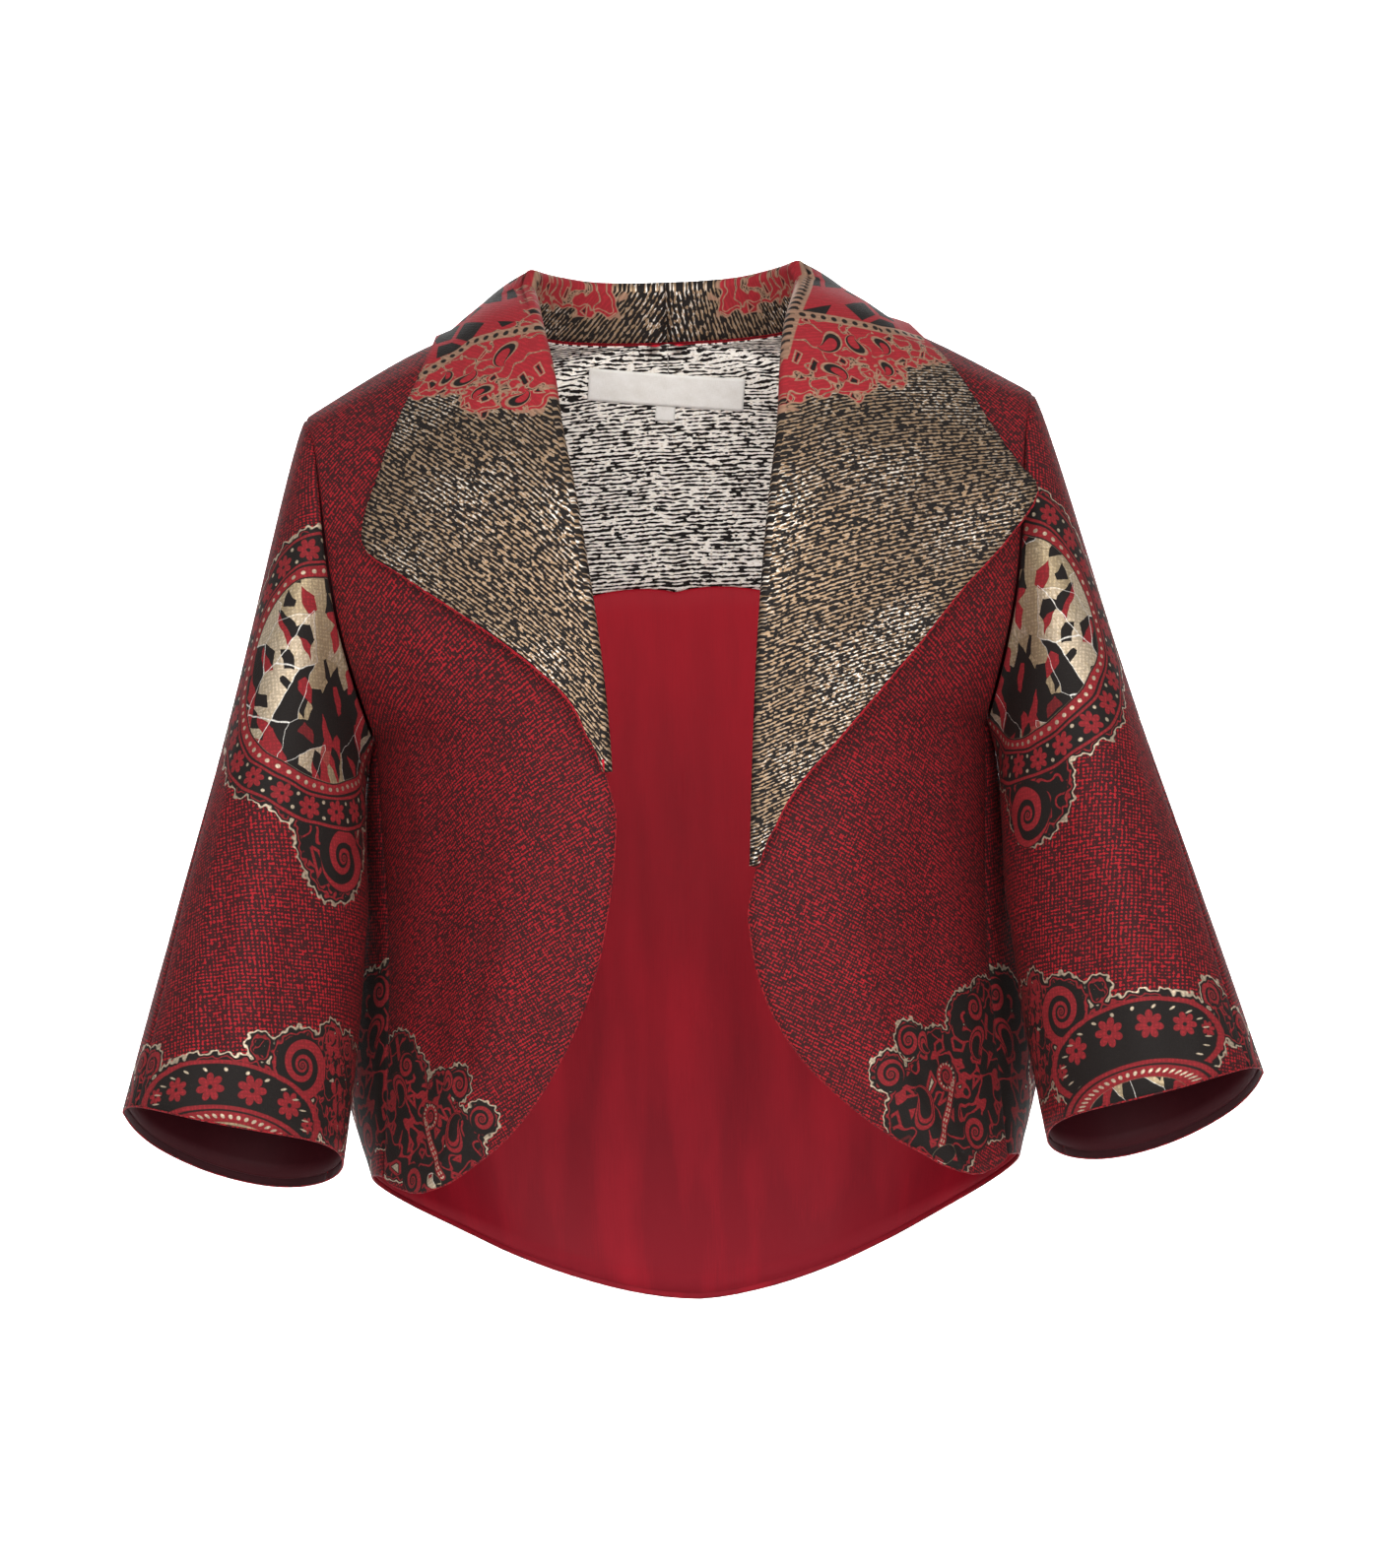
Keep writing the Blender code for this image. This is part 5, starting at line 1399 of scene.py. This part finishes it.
def black_ground(weave, ground, u, v):
    """Black ground with a gold edge and a red line inside it; returns where its middle is."""
    ragged = ground + (noise(u * 0.26, v * 0.26, 0.0) - 0.5) * 4.5
    weave.lay(PALE_GOLD, inside(ragged - 0.55), 0.7)
    weave.black(ragged + 0.55)
    weave.lay(PAISLEY_RED, band(ragged, -3.4, -2.3))
    return inside(ragged + 4.6)


def medallion(weave, u, v, x, y, radius, tail):
    """Large round figure: shards inside rings of beads and flowers, with a tail of scrollwork."""
    a, b = wavering(u, v, 5.0, 0.035)
    rho, theta = polar(a - x, b - y)
    t = rho - radius
    ripple = Field.math("COSINE", theta * 34.0)
    ground = lowest(t - MEDALLION_EDGE + ripple * 1.3, oval(a, b, *tail))
    middle = black_ground(weave, ground, u, v)
    vines(weave, u, v, middle * inside(26.5 - t), 0.06, 0.07)
    curl_x, curl_y, reach = tail[0] - 3.0, tail[1] - 20.0, tail[2]
    weave.black(disc(a, b, curl_x, curl_y, 0.62 * reach))
    curl = scroll(a, b, curl_x, curl_y, 0.60 * reach, 2.8, -1.0, 0.2, 0.27)
    weave.red(curl)
    weave.black(t - 26.0)
    outer_line, inner_line = MEDALLION_LINES
    weave.lay(PAISLEY_RED, band(t, *outer_line))
    place, count, flower_radius = MEDALLION_FLOWERS
    outline, eye = blossom(*ring(rho, theta, radius + place, count), flower_radius)
    weave.red(outline)
    weave.black(eye)
    dot_u, dot_v = ring(rho, theta, radius + place, count, 0.5)
    weave.lay(PALE_GOLD, inside(length(dot_u, size(dot_v) - 4.4) - 1.0), 0.6)
    weave.lay(PAISLEY_RED, band(t, *inner_line))
    weave.red(t - 6.9)
    place, count, bead_radius = MEDALLION_BEADS
    bead = length(*ring(rho, theta, radius + place, count)) - bead_radius
    weave.lay(PALE_GOLD, inside(bead), 0.7)
    weave.black(t - 0.9)
    mosaic(weave, u, v, inside(t))


def arch(weave, u, v, x, y, tilt, sink):
    """Half-round figure cut by the cuff: shards, beads and a row of flowers under an arch."""
    p, q = turned(u - x, v - y, tilt)
    outer = oval(p, q, 0.0, 0.0, *ARCH_HALF)
    weave.lay(PAISLEY_RED, band(outer, -0.9, 1.1))
    weave.black(outer + 1.2)
    flowers, eyes = [], []
    for k, (a, b, radius) in enumerate(ARCH_FLOWERS):
        outline, eye = blossom(p - a, q - b, radius, 0.7 * k)
        flowers.append(outline)
        eyes.append(eye)
    weave.red(lowest(*flowers))
    weave.black(lowest(*eyes))
    rho, theta = polar(p / ARCH_HALF[0], q / ARCH_HALF[1])
    dot_u, dot_v = ring(rho, theta, 1.0, 24)
    weave.lay(PALE_GOLD, inside(length(dot_u * 45.0, (dot_v + 0.17) * 23.0) - 1.0), 0.6)
    q = q + sink
    lower = oval(p, q, *ARCH_LOWER)
    weave.black(lower - 1.3)
    weave.red(lower)
    weave.lay(BLACK, band(lower, -3.0, -2.0))
    a, b, half_width, half_height = ARCH_LOWER
    rho, theta = polar((p - a) / half_width, (q - b) / half_height)
    bead_u, bead_v = ring(rho, theta, 1.0, 54)
    weave.lay(PALE_GOLD, inside(length(bead_u * 38.0, (bead_v + 0.28) * 20.0) - 1.1), 0.7)
    mosaic(weave, u, v, inside(lower + 8.6))


def cuff_border(weave, u, v, shift_x, shift_y, tilt, sink):
    """Border of the cuff: the arch, a large scroll beside it, a branch and curls."""
    u, v = u - shift_x, v - shift_y
    grown = oval(u, v, *CUFF_MIDDLE, *CUFF_HALF, tilt)
    middle = black_ground(weave, lowest(grown, discs(u, v, CUFF_DISCS)), u, v)
    vines(weave, u, v, middle * inside(1.5 - grown), 0.10, 0.13)
    branch, _, _ = segment(u, v, *CUFF_BRANCH)
    leaf_along = fraction(v / 9.5) - 0.5
    leaf = length(leaf_along * 9.5, (size(u - 172.0 - (v + 415.0) * 0.30) - 3.6) * 1.2) - 3.1
    weave.red(highest(leaf, branch - 9.5))
    weave.black(disc(u, v, *CUFF_SCROLL, 16.0))
    weave.red(scroll(u, v, *CUFF_SCROLL, 17.5, 2.4, -1.0, 0.30, 0.25))
    for x, y, radius, sense in CUFF_CURLS:
        weave.red(scroll(u, v, x, y, radius, 2.4, sense, 0.1, 0.24))
    arch(weave, u, v, *CUFF_MIDDLE, tilt, sink)


def corner(weave, u, v, places, scrolls, drops, beaded, wedge):
    """Scrollwork in the lower corner of a front."""
    middle = black_ground(weave, discs(u, v, places), u, v)
    vines(weave, u, v, middle, 0.055, 0.065)
    for x, y, radius, sense, turn in scrolls:
        weave.black(disc(u, v, x, y, radius + 1.6))
        weave.red(scroll(u, v, x, y, radius, 2.7, sense, turn, 0.27))
    for x, y, reach, turn in drops:
        shape = drop(u, v, x, y, reach, turn)
        weave.black(shape - 1.4)
        weave.red(shape)
        weave.lay(BLACK, band(shape, -3.6, -2.4))
        weave.black(shape + 6.0)
    x, y, radius, tail_x, tail_y = beaded
    stem, ahead, _ = segment(u, v, x + 0.6 * radius, y - 0.4 * radius, tail_x, tail_y)
    shape = lowest(scroll(u, v, x, y, radius, 2.6, -1.0, 0.25, 0.30), stem - 2.6)
    weave.black(shape - 1.0)
    weave.red(shape)
    dash = size(fraction(ahead / 3.6) - 0.5) * 3.6
    weave.lay(PALE_GOLD, inside(highest(size(size(stem) - 1.0) - 0.45, dash - 1.0)), 0.7)
    rho, theta = polar(u - x, v - y)
    bead_u, bead_v = ring(rho, theta, 0.78 * radius, 16)
    weave.lay(PALE_GOLD, inside(length(bead_u, bead_v) - 0.75), 0.7)
    mosaic(weave, u, v, inside(oval(u, v, *wedge)))


def collar(weave, u, v, edge, bulges, arms, drops, leaves_above):
    """Red scrollwork with tan outlines over the collar, down to a scalloped edge on the lapel."""
    slope, level, top = edge
    zone = highest(((level - slope * u) - v) * (1.0 / math.hypot(1.0, slope)), v - top)
    x, y, direction = STAND_SEAM
    ahead, across = turned(u - x, v - y, direction)
    x, y, slant = STAND_SLANT
    on_stand = lowest((u - x) - (v - y) * slant, v - STAND_LEVEL)
    zone = highest(zone, lowest(on_stand, highest(ahead, STAND_GOLD - across)))
    zone = lowest(zone, discs(u, v, bulges)) + (noise(u * 0.20, v * 0.20, 0.0) - 0.5) * 7.0
    inner = inside(zone + 0.6)
    weave.lay(ROSE_TAN, inside(zone - 0.4), 0.3)
    weave.lay(COLLAR_RED, inner)
    wave = noise(u * 0.085, v * 0.085)
    weave.lay(ROSE_TAN, inner * inside(size(wave - 0.5) - 0.030, 0.006), 0.25)
    broken = above(noise(u, v, 0.0), 0.5, 0.1)
    weave.lay(BLACK, inner * inside(size(wave - 0.5) - 0.010, 0.004) * broken)
    pick, _, edge_distance = facets(u, v, 0.11)
    picked = inner * above(pick, 0.45, 0.01)
    weave.lay(ROSE_TAN, picked * band(edge_distance, 0.26, 0.33, 0.01), 0.25)
    weave.lay(BLACK, picked * above(edge_distance, 0.37, 0.02))
    weave.lay(ROSE_TAN, band(zone, -4.0, -3.1), 0.25)
    for x, y, reach, turn in drops:
        shape = drop(u, v, x, y, reach, turn)
        weave.lay(COLLAR_RED, inside(shape - 1.6))
        weave.lay(ROSE_TAN, inside(shape), 0.3)
        weave.black(shape + 1.3)
        weave.lay(COLLAR_RED, inside(shape + 4.0))
    above_arms = inner * inside(leaves_above(u, v)) * inside(u - 47.0)
    weave.lay(COLLAR_RED, above_arms)
    pick, _, edge_distance = facets(u, v, 0.075, 0.6)
    weave.lay(BLACK, above_arms * above(edge_distance, 0.10, 0.01) * above(pick, 0.50, 0.01))
    for x0, y0, x1, y1 in arms:
        near, ahead, across = segment(u, v, x0, y0, x1, y1)
        weave.lay(ROSE_TAN, inside(near - 3.0), 0.3)
        oval_u = (fraction(ahead / 5.0) - 0.5) * 5.0
        weave.black(highest(length(oval_u, across * 0.8) - 1.35, near - 3.0))


def red_cloth(name, thread_angles, *patterns):
    """Red melange brocade with woven patterns laid over it."""
    material, shader = new_material(name)
    u, v = flat_place()
    colour, dark = melange(u, v, *thread_angles)
    weave = Weave(colour)
    for pattern in patterns:
        pattern(weave, u, v)
    weave.colour = mixed(weave.colour, BLACK, dark * 0.30)
    finished(shader, weave, 0.66, 0.34, threads(u, v) - dark * 0.15, 0.25, 0.02, RED_SHEEN)
    return material


def slub_ground(u, v, angle):
    """Old-gold cloth crossed by fine broken black threads, with painted near-white glints in patches.
    """
    along_u, along_v = turned(u, v, angle)
    line = lines(along_u, along_v, 1.9, 4.5)
    speck = noise(u * 0.45, v * 0.45, 1.0)
    black = above(line + speck * 0.5, 0.715, 0.03)
    # Painted highlight: near-white glints laid on the gold in larger patches
    painted_glint_patches = above(noise(u * 0.016, v * 0.016, 1.0), 0.56, 0.10)
    painted_glint = above(noise(along_u * 0.5, along_v * 1.2, 1.0), 0.56, 0.05)
    return mixed(mixed(TAN, LAME_AND_PAINTED_GLINT, painted_glint * (painted_glint_patches * 0.8 + 0.12)), BLACK, black), black


def gold_cloth(name, angle, *patterns):
    """Old-gold brocade of a lapel facing."""
    material, shader = new_material(name)
    u, v = flat_place()
    colour, black = slub_ground(u, v, angle)
    weave = Weave(colour, (1.0 - black) * 0.55)
    for pattern in patterns:
        pattern(weave, u, v)
    weave.colour = mixed(weave.colour, BLACK, black * 0.22)
    finished(shader, weave, 0.62, 0.30, threads(u, v) - black * 0.35, 0.28)
    return material


def lame_cloth(name):
    """Bright metallic cloth with black slubs, behind the neck."""
    material, shader = new_material(name)
    u, v = flat_place()
    line = lines(u, v, 2.3, 7.0)
    speck = noise(u * 0.3, v * 0.6, 1.0)
    cloud = noise(u * 0.04, v * 0.07, 1.0)
    black = above(line + speck * 0.5 + cloud * 0.25, 0.915, 0.02)
    fine = noise(u * 0.5, v * 2.0, 1.0)
    weave = Weave(mixed(mixed(LAME_AND_PAINTED_GLINT, PALE_GOLD, above(fine, 0.66, 0.06)), BLACK, black),
                  (1.0 - black) * 0.30)
    finished(shader, weave, 0.5, 0.28, fine - black * 0.8, 0.2)
    return material


def satin(name, bright, painted_shade_colour):
    """Satin lining, with painted shade: faint soft streaks down it, like the shade of soft folds, and
    darker towards the hem.
    """
    material, shader = new_material(name)
    u, v = flat_place()
    # Painted shade: soft streaks darken the satin towards its shade colour, as soft folds would
    soft = noise(u * 0.035, v * 0.006, 2.0)
    fine = noise(u * 1.9, v * 0.05, 1.0)
    share = above(soft * 0.8 + fine * 0.2, 0.5, 0.22)
    # Painted shade: the satin darkens towards the hem
    painted_hem_shade = above(0.0 - v, 330.0, 190.0)
    weave = Weave(mixed(bright, painted_shade_colour, share * 0.4 + painted_hem_shade * 0.8))
    finished(shader, weave, 0.50, 0.50, fine, 0.04, 0.02, SATIN_SHEEN)
    return material


def tape(name):
    """Plain cream woven tape."""
    material, shader = new_material(name)
    u, v = flat_place()
    ribs = noise(u * 3.0, v * 0.4, 1.0) * 0.5 + noise(u * 0.4, v * 5.0, 1.0) * 0.5
    soil = noise(u * 0.09, v * 0.12, 2.0)
    weave = Weave(mixed(TAPE_PALE, TAPE_SOILED, above(ribs * 0.5 + soil * 0.5, 0.55, 0.2)))
    finished(shader, weave, 0.55, 0.55, ribs, 0.15)
    return material


def object_noise(scale):
    """Noise through an object's own space."""
    place = Field.tree.nodes.new("ShaderNodeTexCoord")
    node = Field.tree.nodes.new("ShaderNodeTexNoise")
    node.inputs["Scale"].default_value = scale
    Field.tree.links.new(place.outputs["Object"], node.inputs["Vector"])
    return Field(node.outputs[0])


def red_edge(name):
    """The turned edge of the red cloth."""
    material, shader = new_material(name)
    share = above(object_noise(700.0), 0.5, 0.1)
    join(mixed(RED, MAROON, share), shader.inputs["Base Color"])
    shader.inputs["Roughness"].default_value = 0.62
    shader.inputs["Specular IOR Level"].default_value = CLOTH_SPECULAR
    return material


def paper(name):
    """Matt, faintly mottled paper for the sweep."""
    material, shader = new_material(name)
    join(mixed(*PAPER, object_noise(3.0)), shader.inputs["Base Color"])
    shader.inputs["Roughness"].default_value = 0.9
    return material


def cut_of(cloth):
    """Width, length and area of a piece's flat pattern, in metres."""
    flat = cloth[..., 3:]
    width, height = (np.nanmax(flat, (0, 1)) - np.nanmin(flat, (0, 1))) / 1000.0
    diagonal = cloth[1:, 1:, :3] - cloth[:-1, :-1, :3]
    other = cloth[1:, :-1, :3] - cloth[:-1, 1:, :3]
    area = 0.5 * np.nansum(np.linalg.norm(np.cross(diagonal, other), axis=-1))
    return (float(width), float(height)), float(min(area, width * height))


def place_piece(name, cloth, sign, wall, outer, inner, mirror=1.0,
                node=None):
    """Makes a piece of cloth from its grid, hangs it from the root and hides the solid it stands for;
    works out its flat size and area.
    """
    piece = make_cloth(name, cloth, sign, wall, outer, inner, mirror)
    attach(piece, "root")
    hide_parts(node)
    flat, area = cut_of(cloth)


def place_edge(name, path, material, mirror=1.0):
    """Makes a folded edge, which goes with the cloth beside it."""
    edge = make_edge(name, path, material, mirror)
    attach(edge, "root")
    return edge


def build_fronts(looks):
    """Fronts with their collar halves, and the facings that turn back over them."""
    for side, (mirror, *_) in SIDES.items():
        fine, folded_rows, foot = front_grid(side, FINER)
        coarse = front_grid(side, 1)[0]
        cloth = with_flat(fine, coarse, -1, -1)
        fold = (LAPEL_COLUMNS + TURN_COLUMNS) * FINER
        middle = lowered(cloth, -1, 0.5 * SHELL_WALL)
        path = np.concatenate([middle[:folded_rows, 0], middle[folded_rows - 1, 1:fold + 1],
                               middle[folded_rows:, fold], middle[-1, fold + 1:]])
        rim = place_edge(f"front_edge_{side}", path, looks["edge"], mirror)
        inner = lowered(cloth, -1, INNER_FACE)[:folded_rows, :foot]
        shell = seamed(cloth, -1, "right")
        place_piece(f"cloth_front_{side}", shell, -1, SHELL_WALL, looks[f"front_{side}"],
                    looks["lining"], mirror, f"front_{side}")
        inner[:, 0] = cut_back(inner[:, 0], inner[:, 1], LAPEL_INSET)
        inner[:, -1] = cut_back(inner[:, -1], inner[:, -2], FOOT_INSET)
        place_piece(f"cloth_facing_{side}", inner, 1, INNER_WALL, looks[f"facing_{side}"],
                    looks["lining"], mirror,
                    f"facing_{side}")


def build_back(looks):
    """The back, its neck facing and lining, and the label behind the neck."""
    cloth = with_flat(back_grid(FINER), back_grid(1), 1, 1)
    middle = lowered(cloth, 1, 0.5 * SHELL_WALL)
    hem = place_edge("back_hem", middle[-1], looks["edge"])
    shell = seamed(cloth, 1, "top", "left", "right")
    place_piece("cloth_back", shell, 1, SHELL_WALL, looks["back"], looks["lining"],
                node="back")
    seam_row = STAND_ROWS + BACK_YOKE_ROWS
    inside = lowered(cloth, 1, INNER_FACE)
    inside[..., 3] *= -1.0
    yoke = seamed(inside[:seam_row * FINER + 1], -1, "bottom")
    place_piece("cloth_neck_facing", yoke, -1, INNER_WALL, looks["lame"], looks["lining"],
                node="back_neck_facing")
    last = (len(back_row_places()) - 2) * FINER
    lining = seamed(inside[seam_row * FINER:last + 1], -1, "top")
    place_piece("cloth_back_lining", lining, -1, INNER_WALL, looks["lining"], looks["lining"],
                node="back_lining")
    for name, (x, z, width, height, columns, rows, lift, wall) in LABELS.items():
        patch = patch_on(inside[:seam_row * FINER + 1], -1, x, z, width, height, columns, rows)
        patch[..., 1] -= lift
        place_piece(f"cloth_{name}", patch, -1, wall, looks["tape"], looks["tape"],
                    node=name)


def build_sleeves(looks):
    """Both halves of each sleeve and the lining inside its cuff."""
    for side, (mirror, *_) in SIDES.items():
        for half in ("front", "back"):
            front = half == "front"
            view = -1 if front else 1
            cloth = with_flat(sleeve_grid(front, FINER), sleeve_grid(front, 1), 1, view)
            middle = lowered(cloth, 1, 0.5 * SHELL_WALL)
            cuff = place_edge(f"cuff_{half}_{side}", middle[-1], looks["edge"],
                              mirror)
            shell = seamed(cloth, 1, "top", "left", "right")
            place_piece(f"cloth_sleeve_{half}_{side}", shell, 1, SHELL_WALL,
                        looks[f"sleeve_front_{side}" if front else "sleeve_back"],
                        looks["sleeve_lining"], mirror,
                        f"sleeve_{half}_{side}")
        turns = np.linspace(0.0, 1.0, 2 * SLEEVE_HALF_COLUMNS * FINER + 1)
        rows = np.linspace(*SLEEVE_LINING_PLACES, SLEEVE_LINING_ROWS * FINER + 1)
        tube = sleeve_surface([], rows, turns)
        girth, depth = SLEEVE_LINING_FLAT
        flat = np.meshgrid(np.linspace(-0.5 * girth, 0.5 * girth, len(turns)),
                           np.linspace(depth, 0.0, len(rows)))
        tube = lowered(np.concatenate([tube, np.stack(flat, axis=-1)], axis=-1), 1, INNER_FACE)
        place_piece(f"cloth_sleeve_lining_{side}", tube, -1, INNER_WALL, looks["sleeve_lining"],
                    looks["sleeve_lining"], mirror,
                    f"sleeve_lining_{side}")


def build_studio():
    """White sweep, soft lights and the camera of the photograph."""
    scene = bpy.context.scene
    scene.view_settings.view_transform = "Standard"
    scene.cycles.max_bounces = 4
    scene.cycles.diffuse_bounces = 2
    scene.cycles.glossy_bounces = 2
    profile = [(SWEEP_FRONT, FLOOR_Z), (0.0, FLOOR_Z), (WALL_Y - SWEEP_BEND, FLOOR_Z)]
    profile += [(WALL_Y + SWEEP_BEND * (math.sin(a) - 1), FLOOR_Z + SWEEP_BEND * (1 - math.cos(a)))
                for a in np.linspace(0.0, math.pi / 2, 12)[1:]]
    profile += [(WALL_Y, SWEEP_TOP)]
    points = [(x, y, z) for y, z in profile for x in (-SWEEP_HALF, SWEEP_HALF)]
    faces = [(2 * i, 2 * i + 1, 2 * i + 3, 2 * i + 2) for i in range(len(profile) - 1)]
    mesh = bpy.data.meshes.new("sweep")
    mesh.from_pydata(points, [], faces)
    mesh.materials.append(paper("studio_paper"))
    mesh.shade_smooth()
    sweep = bpy.data.objects.new("sweep", mesh)
    scene.collection.objects.link(sweep)

    for name, place, aim, wide, high, power in LIGHTS:
        lamp = bpy.data.lights.new(name, "AREA")
        lamp.shape = "RECTANGLE"
        lamp.size, lamp.size_y, lamp.energy = wide, high, power
        light = bpy.data.objects.new(name, lamp)
        light.location = place
        light.visible_camera = False
        light.rotation_euler = (Vector(aim) - Vector(place)).to_track_quat("-Z", "Y").to_euler()
        scene.collection.objects.link(light)

    world = bpy.data.worlds.new("studio_world")
    world.use_nodes = True
    backing = world.node_tree.nodes["Background"]
    backing.inputs["Color"].default_value = (1.0, 1.0, 1.0, 1.0)
    backing.inputs["Strength"].default_value = WORLD_LIGHT
    scene.world = world

    camera_data = bpy.data.cameras.new("camera")
    camera_data.sensor_fit = "VERTICAL"
    camera_data.sensor_height = SENSOR_HEIGHT
    camera_data.lens = SENSOR_HEIGHT * CAMERA_REACH / FRAME_HEIGHT
    camera = bpy.data.objects.new("camera", camera_data)
    camera.location = (CAMERA_X, -CAMERA_REACH, CAMERA_Z)
    camera.rotation_euler = (math.radians(90.0), CAMERA_ROLL, 0.0)
    scene.collection.objects.link(camera)
    scene.camera = camera


def materials():
    """Every material of the jacket, by use."""
    looks = {
        "lining": satin("satin_crimson", LINING_RED, LINING_PAINTED_SHADE),
        "sleeve_lining": satin("satin_maroon", SLEEVE_LINING, SLEEVE_LINING_PAINTED_SHADE),
        "lame": lame_cloth("lame_gold"),
        "tape": tape("cream_tape"),
        "edge": red_edge("folded_edge"),
        "back": red_cloth("brocade_back", BACK_THREADS, lambda weave, u, v: corner(
            weave, size(u) - BACK_CORNER_SHIFT[0], v - BACK_CORNER_SHIFT[1], *CORNERS["left"])),
        "sleeve_back": red_cloth(
            "brocade_sleeve_back", SLEEVE_THREADS,
            lambda weave, u, v: medallion(weave, 0.0 - u, v, *SLEEVE_BACK_ROUND),
            lambda weave, u, v: cuff_border(weave, *moved(0.0 - u, v, *SLEEVE_BACK_CUFF),
                                            *SLEEVE_FIGURES["right"][1])),
    }
    for side in SIDES:
        round_figure, cuff = SLEEVE_FIGURES[side]
        slope, level = COLLARS[side][-1]

        def above_line(u, v, slope=slope, level=level):
            return (u * slope + level) - v

        looks[f"front_{side}"] = red_cloth(
            f"brocade_front_{side}", FRONT_THREADS,
            lambda weave, u, v: corner(weave, u, v, *CORNERS[side]))
        looks[f"sleeve_front_{side}"] = red_cloth(
            f"brocade_sleeve_front_{side}", SLEEVE_THREADS,
            lambda weave, u, v: medallion(weave, u, v, *round_figure),
            lambda weave, u, v: cuff_border(weave, u, v, *cuff))
        looks[f"facing_{side}"] = gold_cloth(
            f"brocade_gold_{side}", GOLD_ANGLE[side],
            lambda weave, u, v: collar(weave, u, v, *COLLARS[side][:-1], above_line))
    return looks


build_studio()
looks = materials()
build_fronts(looks)
build_back(looks)
build_sleeves(looks)
